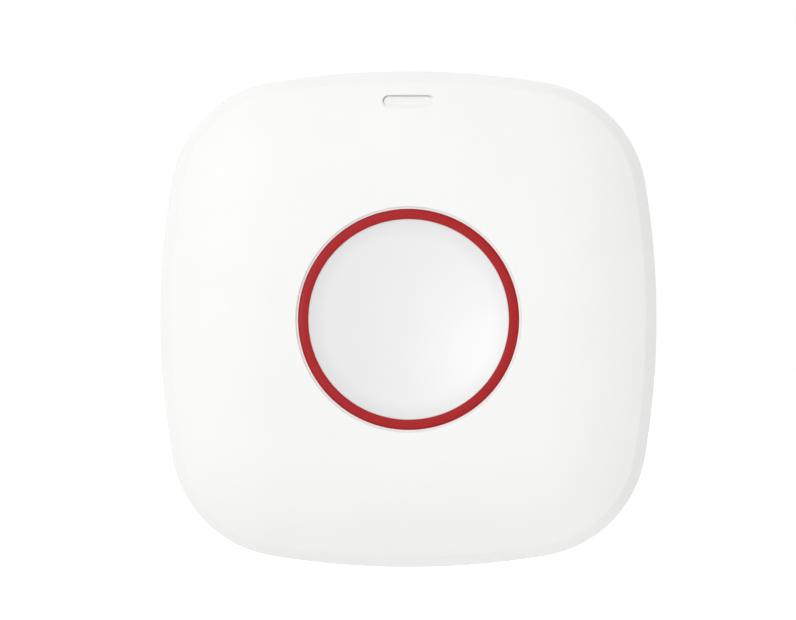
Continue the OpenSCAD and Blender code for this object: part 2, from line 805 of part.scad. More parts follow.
// Side contact: a strip down the well's slot, with a foot under the board
module positive_contact() {
    foot = contact_w;
    leg_z = shelf_z + shelf_t + 2 * fit_gap;
    near = cell_r + touch_gap;
    color("gold") upright() translate([-contact_w / 2, 0, 0]) rotate([90, 0, 90]) linear_extrude(contact_w)
        polygon([
            [-near, leg_z], [-near, board_z], [-near - foot, board_z], [-near - foot, board_z - contact_t],
            [-near - contact_t, board_z - contact_t], [-near - contact_t, leg_z]
        ]);
}

// Leaf contact: a bent strip between the board and the cell's smaller face
module negative_contact() {
    reach = leaf_l / 2;
    low = cell_z + cell_t + touch_gap;
    color("gold") upright() translate([-contact_w / 2, 0, 0]) rotate([90, 0, 90]) linear_extrude(contact_w)
        polygon([
            [-reach, board_z], [0, board_z], [reach, low + contact_t], [reach, low],
            [reach - contact_w / 2, low], [0, board_z - contact_t], [-reach, board_z - contact_t]
        ]);
}

// Battery door: disc with a coin slot and three bayonet lugs on a low ring
module battery_door() {
    color("whitesmoke") upright() difference() {
        union() {
            rod(door_r, back_z, floor_z);
            ring(door_ring_in, door_ring_out, floor_z - floor_t / 2, lug_top);
            for (i = [0 : lug_count - 1])
                ring((door_ring_in + door_ring_out) / 2, lug_r, lug_z, lug_top,
                    360 * i / lug_count, 360 * i / lug_count + lug_angle);
        }
        translate([0, 0, back_z - cut]) linear_extrude(cut + coin_d) polygon(pill(coin_l, coin_w));
    }
}

// Flat seal between the door's ring and the well's shelf
module door_seal() {
    color("dimgray") upright() ring(well_r, door_ring_out, lug_top + touch_gap, shelf_z);
}

// Tamper switch on the back of the board
module tamper_switch() {
    bore_floor = 0.4;
    color("#303030") upright() difference() {
        block([tamper_w, tamper_w, tamper_h], [tamper_x, tamper_y], tamper_low);
        translate([tamper_x, tamper_y, 0])
            rod(tamper_rod_r + fit_gap, tamper_low - cut, board_z - bore_floor);
    }
}

// Plunger that reaches through the back to the wall plate's ramp
module tamper_plunger() {
    overlap = 0.2;
    inside = tamper_travel + overlap;
    tip = tamper_rod_r / 3;
    color("#202020") upright() translate([tamper_x, tamper_y, 0]) {
        rod(tamper_rod_r, tamper_tip_z + tip, tamper_low + inside);
        translate([0, 0, tamper_tip_z]) cylinder(h = tip, r1 = tamper_rod_r - tip, r2 = tamper_rod_r);
        rod(tamper_flange_r, tamper_flange_z, tamper_spring_z);
    }
}

// Spring that pushes the tamper plunger out
module tamper_spring() {
    ends = tamper_wire_r + touch_gap;
    path = helix(tamper_spring_r, tamper_turns, tamper_spring_z + ends, tamper_low - ends, coil_steps);
    color("silver") upright() translate([tamper_x, tamper_y, 0]) wire(path, tamper_wire_r, [0, 0, 1]);
}

// Screws that draw the rear housing onto the cover's bosses
module housing_screws() {
    color("silver") upright() for (p = pillar_spots)
        translate(p) screw(case_screw_r, case_screw_l, case_head_r, case_head_h, case_seat_z);
}

// Screws that hold the board against the cover's posts
module board_screws() {
    color("silver") upright() for (p = post_spots)
        translate(p) screw(board_screw_r, board_screw_l, board_head_r, board_head_h, board_z);
}

wall_plate();
rear_housing();
front_cover();
housing_seal();
led_window();
button_cap();
button_ring();
return_spring();
circuit_board();
switch_body();
switch_plunger();
status_led();
control_chip();
radio_module();
antenna();
crystal();
chip_capacitors();
coin_cell();
positive_contact();
negative_contact();
battery_door();
door_seal();
tamper_switch();
tamper_plunger();
tamper_spring();
housing_screws();
board_screws();
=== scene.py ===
"""Dresses a wall panic button: case, button, inside and studio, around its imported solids.

Shapes are drawn lying on their back, in millimetres: x to the right, y up the wall and z out of
the wall. They are then stood up in metres, so that the front faces -Y and the wall is at y = 0.
"""

import math

import bmesh
import bpy
from bpy.props import FloatProperty, FloatVectorProperty, IntProperty, PointerProperty
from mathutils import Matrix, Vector


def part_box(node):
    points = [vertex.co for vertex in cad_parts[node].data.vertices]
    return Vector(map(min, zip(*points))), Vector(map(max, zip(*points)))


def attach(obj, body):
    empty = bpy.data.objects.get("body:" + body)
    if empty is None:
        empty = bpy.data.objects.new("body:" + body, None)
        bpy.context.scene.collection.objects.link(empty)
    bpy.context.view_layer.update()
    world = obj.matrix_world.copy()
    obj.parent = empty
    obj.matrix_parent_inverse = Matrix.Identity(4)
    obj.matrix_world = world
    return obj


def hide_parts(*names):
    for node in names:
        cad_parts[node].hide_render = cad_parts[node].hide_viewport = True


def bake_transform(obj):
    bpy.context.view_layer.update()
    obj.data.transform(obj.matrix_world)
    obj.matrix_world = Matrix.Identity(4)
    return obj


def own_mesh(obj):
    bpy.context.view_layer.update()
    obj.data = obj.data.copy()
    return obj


bl_info = {
    "name": "Wall Panic Button",
    "version": (1, 0, 0),
    "blender": (4, 5, 0),
    "location": "View3D > Sidebar > Panic Button",
    "description": "Builds the case, button, inside and studio of a wall panic button",
    "category": "Object",
}

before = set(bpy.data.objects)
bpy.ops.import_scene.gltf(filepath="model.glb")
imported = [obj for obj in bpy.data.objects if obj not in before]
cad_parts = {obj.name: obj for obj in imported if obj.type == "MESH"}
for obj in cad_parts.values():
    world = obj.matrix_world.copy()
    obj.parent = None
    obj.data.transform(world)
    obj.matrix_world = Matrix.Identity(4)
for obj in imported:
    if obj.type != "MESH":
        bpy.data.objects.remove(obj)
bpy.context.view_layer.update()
COVER_LOW, COVER_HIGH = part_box("front_cover")
_, RING_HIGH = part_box("button_ring")
BOARD_LOW, BOARD_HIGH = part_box("circuit_board")
CELL_LOW, CELL_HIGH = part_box("coin_cell")

MM = 0.001
SMOOTH_ANGLE = math.radians(32)
SIDES = (-1, 1)
CORNERS = [(x, y) for x in SIDES for y in SIDES]

# Columns of the case's outline and steps of round shapes
SIDE_COLUMNS = 64
CORNER_COLUMNS = 36
SLOT_COLUMNS = 9
ROUND_STEPS = 4
BLOCK_STEPS = 3
LARGE_STEPS = 160

# Fits and levels that the settings leave alone, in millimetres
BURY = 0.9
PLATE_AIR = 0.3
FLOOR_T = 1.8
TONGUE_INSET = 1.0
TONGUE_T = 1.1
TONGUE_RISE = 1.6
SEAL_T = 0.8
SEAT_DROP = 2.4
SLOT_LEAN = 0.25
SLOT_SHIFT = (-0.08, 0.1)
WINDOW_GAP = 0.022
WINDOW_SITS = (-0.045, 0.07)
COLLAR_T = 2.15
CAP_AIR = 0.05
CAP_T = 1.8
FLANGE_RISE = 1.4
FLANGE_T = 1.2
FLANGE_AIR = 0.05
DOOR_RIM = 1.75
DOOR_AIR = 0.2
DOOR_SEAL_T = 0.65
LUG_REACH = 1.6
LUG_LIFT = 0.1
LUG_T = 1.2
WELL_AIR = 0.4
WELL_WALL = 1.4
PILLAR_INSET = 6.8
PILLAR_R = 3.4
SCREW_DEPTH = 3.0
HOUSING_SCREW_L = 9.0
BOARD_SCREW_L = 5.5
STUD_INSET = 12.0
STUD_LEVELS = (14.0, -8.0)
STUD_NECK_R = 2.0
STUD_HEAD_R = 3.4
KEY_RUN = 7.0
KEY_HEAD_W = 7.2
KEY_NECK_W = 4.4
POCKET_TOP = 7.4
POCKET_WALL = 1.0
TAMPER_PLACE = 15.0
TAMPER_RAMP = 9.7
TAMPER_RATIO = 7.0
ROD_R = 0.9
PIN_TOP = 15.7
COLLAR_LOW = 6.0
COLLAR_HIGH = 6.4
TAMPER_UNDER = 8.7
POST_INSET = 13.5
POST_Y = 8.0
LOW_POST_X = 12.0
LOW_POST_DROP = 5.0
BOARD_INSET = 3.6
CHIP_X = 9.6
RADIO_SPOT = (-26.0, -15.06)
SHEET_T = 0.3

# Turning parts of the battery door, in degrees
DOOR_MARK = 120.0
DOOR_TURN = 45.0
LUG_COUNT = 3
LUG_STEP = 120
LUG_ARC = 30
NOTCH_SPARE = 3
STOP_ARC = 3

# Noise scales of the finishes, per metre
CLOUD_SCALE = 70.0
PATCH_SCALE = 260.0
FINE_GRAIN = 5200.0

# Depth of the grain and travel of the button, in metres
GRAIN_DEPTH = 0.00003
BUTTON_TRAVEL = 0.001

# Ends and bends of the board's tracks, in millimetres
TRACKS = (
    ((-8.6, 2.6), (-8.6, 18.0), (-1.4, 25.2), (-1.4, 31.0)),
    ((-9.4, 2.6), (-9.4, 20.2), (-6.9, 22.7), (-6.9, 27.2)),
    ((-10.2, 2.6), (-10.2, 24.0), (-7.4, 28.6)),
    ((9.6, 3.0), (9.6, 20.0), (6.9, 22.7), (6.9, 27.2)),
    ((8.8, 3.0), (8.8, 18.0), (1.4, 25.4), (1.4, 31.0)),
    ((-3.8, 2.0), (-5.6, 2.0), (-6.6, 1.0)),
    ((3.8, 2.0), (5.4, 2.0), (7.6, 1.2)),
    ((3.8, -2.0), (6.0, -2.0), (9.0, -5.0), (9.0, -14.0), (13.4, -18.4)),
    ((-12.4, 0.8), (-17.0, 0.8), (-19.6, -1.8), (-19.6, -10.0), (-21.2, -11.6)),
    ((-12.4, 0.0), (-16.6, 0.0), (-18.8, -2.2), (-18.8, -11.6), (-21.2, -14.0)),
    ((-12.4, -0.8), (-16.2, -0.8), (-18.0, -2.6), (-18.0, -13.2), (-21.2, -16.4)),
    ((-9.4, -2.6), (-9.4, -10.0), (-3.0, -16.4)),
    ((-21.2, -19.0), (-18.4, -19.0), (-7.8, -29.6), (15.6, -29.6), (24.4, -20.8), (26.6, -20.8)),
)


# Settings


def length(name, text, default, low=0.0):
    kind = {"subtype": "DISTANCE", "unit": "LENGTH", "precision": 5}
    return FloatProperty(name=name, description=text, default=default, min=low, **kind)


def amount(name, text, default, low=0.0):
    return FloatProperty(name=name, description=text, default=default, min=low)


def share(name, text, default):
    return FloatProperty(name=name, description=text, default=default, min=0.0, max=1.0, subtype="FACTOR")


def colour(name, text, default):
    kind = {"size": 3, "subtype": "COLOR_GAMMA"}
    text += ", screen values"
    return FloatVectorProperty(name=name, description=text, default=default, min=0.0, max=1.0, **kind)


class CaseSizes(bpy.types.PropertyGroup):
    """Sizes of the two shells and the wall plate."""

    width: length("Width", "Width and height across the bowed sides", COVER_HIGH.x - COVER_LOW.x)
    depth: length("Depth", "Wall to the flat middle of the face", -COVER_LOW.y)
    side_radius: length("Side radius", "Plan radius of the bowed sides", 0.124)
    corner_radius: length("Corner radius", "Plan radius of the corners", 0.018)
    wall: length("Wall", "Thickness of the side walls", 0.002)
    face_thickness: length("Face thickness", "Thickness of the face", 0.0022)
    rim_width: length("Rim width", "Width of the bevel round the front edge", 0.0016)
    rim_height: length("Rim height", "How far the bevel drops", 0.0012)
    face_fall: length("Face fall", "How far the face falls from its flat middle to the bevel", 0.0033)
    flat_corner: length("Flat corner", "Corner radius of the flat middle", 0.0015)
    side_draft: length("Side draft", "Lean of the cover's sides", 0.0004)
    seam_height: length("Seam height", "Wall to the top edge of the rear housing", 0.009)
    seam_gap: length("Seam gap", "Shadow gap between the two shells", 0.0005)
    rear_inset: length("Rear inset", "How much narrower the back is than the front", 0.0024)
    plate_thickness: length("Plate thickness", "Thickness of the wall plate", 0.0028)
    plate_inset: length("Plate inset", "How far the plate lies inside the case's outline", 0.0042)
    edge_round: length("Edge round", "Radius on the outer edges", 0.00025)
    slot_length: length("Slot length", "Length of the indicator slot", 0.00784)
    slot_height: length("Slot height", "Height of the indicator slot", 0.002)
    slot_inset: length("Slot inset", "Distance of the slot's middle from the top edge", 0.00452)
    window_drop: length("Window drop", "How far the window's middle lies below the face", 0.00037)
    window_tilt: share("Window tilt", "How much deeper the window lies at its upper edge", 0.5)


class ButtonSizes(bpy.types.PropertyGroup):
    """Sizes of the button and its ring."""

    ring_radius: length("Ring radius", "Outside radius of the ring", RING_HIGH.x)
    ring_width: length("Ring width", "Width of the ring", 0.00147)
    ring_height: length("Ring height", "Height of the ring", 0.0022)
    ring_drop: length("Ring drop", "How far the ring's top lies below the face", 0.0002)
    ring_round: length("Ring round", "Radius on the ring's outer edge", 0.00026)
    dish_drop: length("Dish drop", "How far the dish's edge lies below the face", 0.0004)
    dish_depth: length("Dish depth", "Depth of the dish", 0.0016)
    lip: length("Lip", "Width of the step round the button hole", 0.00039)
    lip_lean: length("Lip lean", "How far the step's wall leans in", 0.00018)
    lip_drop: length("Lip drop", "How far the step lies below the face", 0.00036)
    gap: length("Gap", "Air between the ring and its hole", 0.00003)


class InsideSizes(bpy.types.PropertyGroup):
    """Sizes of the pieces inside."""

    board_bottom: length("Board bottom", "Wall to the board's back", -BOARD_HIGH.y)
    board_top: length("Board top", "Wall to the board's front", -BOARD_LOW.y)
    cell_radius: length("Cell radius", "Radius of the coin cell", CELL_HIGH.x)
    cell_bottom: length("Cell bottom", "Wall to the coin cell", -CELL_HIGH.y)
    cell_thickness: length("Cell thickness", "Thickness of the coin cell", CELL_HIGH.y - CELL_LOW.y)
    track_width: length("Track width", "Width of the board's tracks", 0.00035)
    thread_pitch: length("Thread pitch", "Rise of the screws' threads in one turn", 0.0008)
    spring_turns: amount("Spring turns", "Turns of the return spring", 4.0, 1.0)
    tamper_turns: amount("Tamper turns", "Turns of the tamper spring", 2.5, 1.0)
    antenna_turns: IntProperty(name="Antenna turns", description="Turns of the antenna", default=9, min=1)


class FinishSettings(bpy.types.PropertyGroup):
    """Colours and surface of every finish."""

    case_white: colour("Case", "Shells", (0.95, 0.95, 0.946))
    plate_white: colour("Plate", "Wall plate", (0.9, 0.9, 0.89))
    dish_grey: colour("Dish", "Button cap", (0.905, 0.905, 0.905))
    ring_red: colour("Ring", "Button ring", (0.64, 0.04, 0.07))
    window_milk: colour("Window", "Indicator window", (0.932, 0.932, 0.925))
    rubber_grey: colour("Rubber", "Seals", (0.22, 0.22, 0.23))
    mask_green: colour("Board", "Solder mask", (0.07, 0.33, 0.19))
    track_green: colour("Tracks", "Solder mask over copper", (0.16, 0.45, 0.26))
    black: colour("Black plastic", "Switches and chips", (0.13, 0.13, 0.135))
    nickel: colour("Nickel", "Cans and cell", (0.8, 0.8, 0.79))
    gold: colour("Gold", "Contacts and pads", (0.9, 0.74, 0.42))
    zinc: colour("Zinc", "Screws and springs", (0.72, 0.73, 0.75))
    ceramic: colour("Ceramic", "Capacitors", (0.62, 0.48, 0.34))
    grain: share("Grain", "Strength of the moulded grain", 0.1)
    satin: share("Satin", "Roughness of the case", 0.5)


class StudioSettings(bpy.types.PropertyGroup):
    """Camera, floor and light."""

    view_width: length("View width", "Width of the picture at the case's edge", 0.1188)
    view_x: length("View x", "Middle of the picture, to the right", -0.00158, -1.0)
    view_z: length("View z", "Middle of the picture, upwards", 0.0014, -1.0)
    lens: FloatProperty(name="Lens", description="Focal length", default=400.0, min=10.0, unit="CAMERA")
    floor_drop: length("Floor drop", "Middle of the case to the floor", 0.052)
    floor_white: colour("Floor", "Floor", (0.96, 0.96, 0.96))
    floor_glow: amount("Floor glow", "Lift of the floor to white", 0.08)
    ambient: amount("Ambient", "Even light from all round", 0.65)
    shade: share("Shade", "How much darker the surround is on the right", 0.65)
    side: amount("Side", "Level of the light from the left", 0.257)
    top: amount("Top", "Level of the light from above", 0.19)
    back: amount("Back", "Level of the light on the back", 0.4)


def mm(value):
    return value / MM


# Outline and levels


class Plan:
    """Outline and depth levels of the case, in millimetres."""

    def __init__(self, scene):
        case, button, inside = scene.panic_case, scene.panic_button, scene.panic_inside
        self.half = mm(case.width) / 2
        self.side_r = mm(case.side_radius)
        self.corner_r = mm(case.corner_radius)
        self.side_c = self.side_r - self.half
        reach = math.sqrt(2 * (self.side_r - self.corner_r) ** 2 - self.side_c**2)
        self.corner_c = (reach - self.side_c) / 2
        self.join = math.atan2(self.corner_c, self.corner_c + self.side_c)
        fall = mm(case.face_fall)
        self.face = mm(case.depth)
        self.rim_w = mm(case.rim_width)
        self.edge = self.face - fall
        self.rim = self.edge - mm(case.rim_height)
        self.flat_in = self.corner_r - mm(case.flat_corner)
        run = self.flat_in - self.rim_w
        self.fall_r = (run * run + fall * fall) / (2 * fall)
        self.draft = mm(case.side_draft)
        self.wall = mm(case.wall)
        self.face_t = mm(case.face_thickness)
        self.cavity_in = self.draft + self.wall
        self.seam = mm(case.seam_height)
        self.cover = self.seam + mm(case.seam_gap)
        self.rear_in = mm(case.rear_inset)
        self.plate_t = mm(case.plate_thickness)
        self.plate_in = mm(case.plate_inset)
        self.soft = mm(case.edge_round)
        self.back = self.plate_t + PLATE_AIR
        self.floor = self.back + FLOOR_T
        self.tongue_in = self.draft + TONGUE_INSET
        self.tongue_out = self.tongue_in + TONGUE_T
        self.seal = self.seam + TONGUE_RISE
        self.slot_w = mm(case.slot_length)
        self.slot_h = mm(case.slot_height)
        self.slot_y = self.half - mm(case.slot_inset)
        self.window_drop = mm(case.window_drop)
        self.window_tilt = case.window_tilt / (self.slot_h / 2)
        self.seat = self.edge - SEAT_DROP
        self.ring_r = mm(button.ring_radius)
        self.ring_top = self.face - mm(button.ring_drop)
        self.ring_low = self.ring_top - mm(button.ring_height)
        self.ring_round = mm(button.ring_round)
        self.hole_r = self.ring_r + mm(button.gap)
        self.lip_r = self.hole_r + mm(button.lip)
        self.ledge_r = self.lip_r - mm(button.lip_lean)
        self.ledge = self.face - mm(button.lip_drop)
        self.collar_r = self.ring_r + COLLAR_T
        self.cap_r = self.ring_r - CAP_AIR
        self.dish_r = self.ring_r - mm(button.ring_width)
        depth = mm(button.dish_depth)
        self.dish_low = self.face - mm(button.dish_drop) - depth
        self.dish_sphere = (self.dish_r**2 + depth**2) / (2 * depth)
        self.cap_under = self.dish_low - CAP_T
        self.board = mm(inside.board_bottom)
        self.board_top = mm(inside.board_top)
        self.flange = self.board_top + FLANGE_RISE
        self.collar = self.flange + FLANGE_T + FLANGE_AIR
        self.cell_r = mm(inside.cell_radius)
        self.cell = mm(inside.cell_bottom)
        self.cell_top = self.cell + mm(inside.cell_thickness)
        self.door_r = self.cell_r + DOOR_RIM
        self.lug_r = self.door_r + LUG_REACH
        self.channel_r = self.lug_r + DOOR_AIR
        self.lug = self.floor + LUG_LIFT
        self.lug_top = self.lug + LUG_T
        self.shelf = self.lug_top + DOOR_SEAL_T
        self.well_r = self.cell_r + WELL_AIR
        self.pillar = self.corner_c + (self.corner_r - PILLAR_INSET) / math.sqrt(2)
        self.screw_seat = self.back + SCREW_DEPTH
        self.stud_spots = [(x * (self.half - STUD_INSET), y) for x in SIDES for y in STUD_LEVELS]
        self.tamper = (TAMPER_PLACE, TAMPER_PLACE - self.half)
        self.post_spots = [(x * (self.half - POST_INSET), POST_Y) for x in SIDES]
        self.post_spots += [(x * LOW_POST_X, self.tamper[1] - LOW_POST_DROP) for x in SIDES]
        self.pillar_spots = [(x * self.pillar, y * self.pillar) for x, y in CORNERS]
        self.spokes = self.make_spokes()

    def make_spokes(self):
        """Centre, direction and radius of the arc under each column of the outline."""
        arcs = []
        for i in range(SIDE_COLUMNS):
            arcs.append((self.join * (2 * i / SIDE_COLUMNS - 1), -self.side_c, 0.0, self.side_r))
        corner_turn = math.pi / 2 - 2 * self.join
        for i in range(CORNER_COLUMNS):
            angle = self.join + corner_turn * i / CORNER_COLUMNS
            arcs.append((angle, self.corner_c, self.corner_c, self.corner_r))
        spokes = []
        for quarter in range(4):
            turn = quarter * math.pi / 2
            c, s = math.cos(turn), math.sin(turn)
            for angle, x, y, radius in arcs:
                way = (math.cos(angle + turn), math.sin(angle + turn))
                spokes.append((x * c - y * s, x * s + y * c, *way, radius))
        return spokes

    def outline(self, inset):
        return [(cx + (r - inset) * dx, cy + (r - inset) * dy) for cx, cy, dx, dy, r in self.spokes]

    def inset_at(self, x, y):
        """Distance of a point inside the outline."""
        far, near = max(abs(x), abs(y)), min(abs(x), abs(y))
        if math.atan2(near, far + self.side_c) <= self.join:
            return self.side_r - math.hypot(far + self.side_c, near)
        return self.corner_r - math.hypot(far - self.corner_c, near - self.corner_c)

    def face_at(self, inset):
        """Height of the face at a distance inside the outline."""
        if inset >= self.flat_in:
            return self.face
        if inset >= self.rim_w:
            return self.face - self.fall_r + math.sqrt(self.fall_r**2 - (self.flat_in - inset) ** 2)
        return self.rim + (self.edge - self.rim) * max(inset, 0.0) / self.rim_w

    def window_at(self, x, y, part=1.0):
        """Height of the window at a point, or of a part of the way down to it."""
        drop = self.window_drop * (1 + self.window_tilt * (y - self.slot_y))
        return self.face_at(self.inset_at(x, y)) - part * drop

    def roof_at(self, inset):
        """Height of the face's underside at a distance inside the outline."""
        near = self.cavity_in + self.rim_w
        if inset >= near:
            return self.face_at(inset) - self.face_t
        low, high = self.rim - self.face_t, self.face_at(near) - self.face_t
        return low + (high - low) * (inset - self.cavity_in) / self.rim_w

    def roof_over(self, x, y):
        return self.roof_at(self.inset_at(x, y))


# Mesh building


def stood(points):
    """Bench points, stood up and in metres."""
    return [(x * MM, -z * MM, y * MM) for x, y, z in points]


def polar(radius, degrees):
    t = math.radians(degrees)
    return radius * math.cos(t), radius * math.sin(t)


def soften(corners, steps=ROUND_STEPS):
    """Profile through corners of two coordinates and a radius, with each inner corner rounded."""
    path = []
    last = len(corners) - 1
    for i, (a, b, radius) in enumerate(corners):
        if i in (0, last) or radius == 0:
            path.append((a, b))
            continue
        here = Vector((a, b))
        before = Vector(corners[i - 1][:2]) - here
        after = Vector(corners[i + 1][:2]) - here
        half = before.angle(after) / 2
        reach = min(radius / math.tan(half), 0.48 * before.length, 0.48 * after.length)
        true_r = reach * math.tan(half)
        middle = here + (before.normalized() + after.normalized()).normalized() * (true_r / math.sin(half))
        start = here + before.normalized() * reach - middle
        end = here + after.normalized() * reach - middle
        for k in range(steps + 1):
            path.append(tuple(middle + start.lerp(end, k / steps).normalized() * true_r))
    return path


def ring_section(inner, outer, low, high, softs, steps=ROUND_STEPS):
    """Closed profile of a ring, with a radius for each edge from the lower inner one round."""
    middle = (inner, (low + high) / 2, 0)
    corners = zip((inner, outer, outer, inner), (low, low, high, high), softs)
    return soften([middle, *corners, middle], steps)[:-1]


def circle(radius, steps, at=(0.0, 0.0)):
    turns = [2 * math.pi * i / steps for i in range(steps)]
    return [(at[0] + radius * math.cos(t), at[1] + radius * math.sin(t)) for t in turns]


def disc_shape(radius, at=(0.0, 0.0), steps=64):
    return lambda inset: circle(radius - inset, steps, at)


def pill_shape(width, height, at=(0.0, 0.0), upright=False, steps=20):
    """Long shape with round ends, as a function of its inset."""

    def shape(inset):
        reach = (width - height) / 2
        radius = height / 2 - inset
        points = []
        for side in (1, -1):
            for i in range(steps + 1):
                a = math.pi * (i / steps - 0.5)
                points.append((side * (reach + radius * math.cos(a)), side * radius * math.sin(a)))
        if upright:
            points = [(-y, x) for x, y in points]
        return [(at[0] + x, at[1] + y) for x, y in points]

    return shape


def box_shape(width, height, radius, at=(0.0, 0.0)):
    """Rectangle with round corners, as a function of its inset."""

    def shape(inset):
        r = max(radius - inset, 0.02)
        a, b = width / 2 - inset - r, height / 2 - inset - r
        points = []
        for quarter, (sx, sy) in enumerate(((1, 1), (-1, 1), (-1, -1), (1, -1))):
            for i in range(ROUND_STEPS + 1):
                t = (quarter + i / ROUND_STEPS) * math.pi / 2
                points.append((at[0] + sx * a + r * math.cos(t), at[1] + sy * b + r * math.sin(t)))
        return points

    return shape


def block_profile(low, high, radius):
    """Inset and height levels of a block with rounded edges."""
    turns = [i / BLOCK_STEPS * math.pi / 2 for i in range(BLOCK_STEPS + 1)]
    levels = [(radius * (1 - math.sin(t)), low + radius * (1 - math.cos(t))) for t in turns]
    return levels + [(radius * (1 - math.cos(t)), high - radius * (1 - math.sin(t))) for t in turns]


class Skin:
    """Points and faces of one piece on the bench."""

    def __init__(self):
        self.points = []
        self.faces = []
        self.paints = []
        self.paint = 0

    def loop(self, points):
        start = len(self.points)
        self.points.extend(points)
        return list(range(start, len(self.points)))

    def stack(self, shape, levels):
        """Loops of a shape at several heights, each level with what the shape takes."""
        return [self.loop([(x, y, z) for x, y in shape(size)]) for size, z in levels]

    def face(self, *corners):
        self.faces.append(corners)
        self.paints.append(self.paint)

    def tube(self, loops, closed=False):
        for a, b in zip(loops, loops[1:] + loops[:1] if closed else loops[1:]):
            for i in range(len(a)):
                k = (i + 1) % len(a)
                self.face(a[i], a[k], b[k], b[i])

    def solid(self, loops):
        """Tube through loops, closed at both ends."""
        self.tube(loops)
        self.face(*loops[0])
        self.face(*loops[-1])

    def pad(self, shape, levels):
        """Solid through a stack of shapes, each level with what the shape takes and a height."""
        self.solid(self.stack(shape, levels))

    def sleeve(self, levels, steps):
        """Ring turned from a closed profile of radius and height."""
        self.tube(self.stack(lambda r: circle(r, steps), levels), closed=True)

    def turned(self, levels, steps, at=(0.0, 0.0)):
        """Solid turned from a profile of radius and height that starts and ends on the axis."""
        loops = self.stack(lambda r: circle(r, steps, at), levels[1:-1])
        self.tube(loops)
        for loop, (_, z) in ((loops[0], levels[0]), (loops[-1], levels[-1])):
            if abs(self.points[loop[0]][2] - z) < 1e-6:
                self.face(*loop)
                continue
            tip = self.loop([(*at, z)])[0]
            for i in range(steps):
                self.face(loop[i], loop[(i + 1) % steps], tip)

    def arc_ring(self, inner, outer, low, high, start, arc, soft=0.1, steps=18):
        """Part of a ring over an arc in degrees, with rounded edges."""
        section = ring_section(inner, outer, low, high, [soft] * 4, 3)
        angles = [start + arc * i / steps for i in range(steps + 1)]
        self.solid([self.loop([(*polar(r, angle), z) for r, z in section]) for angle in angles])

    def mesh(self, name):
        made = bpy.data.meshes.new(name)
        made.from_pydata(stood(self.points), [], self.faces)
        made.polygons.foreach_set("material_index", self.paints)
        work = bmesh.new()
        work.from_mesh(made)
        bmesh.ops.remove_doubles(work, verts=work.verts, dist=1e-8)
        bmesh.ops.dissolve_degenerate(work, edges=work.edges, dist=1e-8)
        bmesh.ops.recalc_face_normals(work, faces=work.faces)
        work.to_mesh(made)
        work.free()
        return made

    def piece(self, name, *finishes, joined=(), cut=()):
        """Object at the origin, with other skins joined on or cut away, and soft shading."""
        made = new_object(name, self.mesh(name))
        for finish in finishes:
            made.data.materials.append(finish)
        for other in joined:
            carve(made, other, "UNION")
        for other in cut:
            carve(made, other, "DIFFERENCE")
        shade(made)
        return made


def new_object(name, data):
    made = bpy.data.objects.new(name, data)
    bpy.context.scene.collection.objects.link(made)
    return made


def discard(made):
    """Deletes an object and its mesh."""
    mesh = made.data
    bpy.data.objects.remove(made)
    bpy.data.meshes.remove(mesh)


def settle(made):
    """Turns an object's modifiers into its mesh."""
    graph = bpy.context.evaluated_depsgraph_get()
    old = made.data
    name = old.name
    kept = {"preserve_all_data_layers": True, "depsgraph": graph}
    new = bpy.data.meshes.new_from_object(made.evaluated_get(graph), **kept)
    made.modifiers.clear()
    made.data = new
    bpy.data.meshes.remove(old)
    new.name = name


def carve(made, skin, operation):
    """Joins a skin to an object, or cuts it away, and drops the corners left on straight edges."""
    tool = new_object("tool", skin.mesh("tool"))
    step = made.modifiers.new("carve", "BOOLEAN")
    step.operation = operation
    step.object = tool
    step.solver = "MANIFOLD"
    settle(made)
    discard(tool)
    work = bmesh.new()
    work.from_mesh(made.data)
    spare = [corner for corner in work.verts if len(corner.link_edges) == 2]
    bmesh.ops.dissolve_verts(work, verts=spare)
    work.to_mesh(made.data)
    work.free()


def shade(made):
    """Smooth shading that keeps flat faces flat and hard edges hard."""
    made.data.polygons.foreach_set("use_smooth", [True] * len(made.data.polygons))
    made.data.set_sharp_from_angle(angle=SMOOTH_ANGLE)
    step = made.modifiers.new("flats", "WEIGHTED_NORMAL")
    step.mode = "FACE_AREA"
    step.weight = 80
    step.keep_sharp = True
    settle(made)


def place(made, body, slot, *nodes):
    """Hands a finished piece to its body and hides the solids that it stands for; the slot is not used."""
    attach(made, body)
    if nodes:
        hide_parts(*nodes)


# Node trees


class Signal:
    """Output of a node, with arithmetic that adds Math nodes."""

    def __init__(self, wiring, socket):
        self.wiring = wiring
        self.socket = socket

    def math(self, operation, a, b):
        return self.wiring.node("ShaderNodeMath", {"operation": operation}, {0: a, 1: b})

    def __add__(self, other):
        return self.math("ADD", self, other)

    def __radd__(self, other):
        return self.math("ADD", other, self)

    def __rsub__(self, other):
        return self.math("SUBTRACT", other, self)

    def __mul__(self, other):
        return self.math("MULTIPLY", self, other)

    def __rmul__(self, other):
        return self.math("MULTIPLY", other, self)

    def __pow__(self, other):
        return self.math("POWER", self, other)


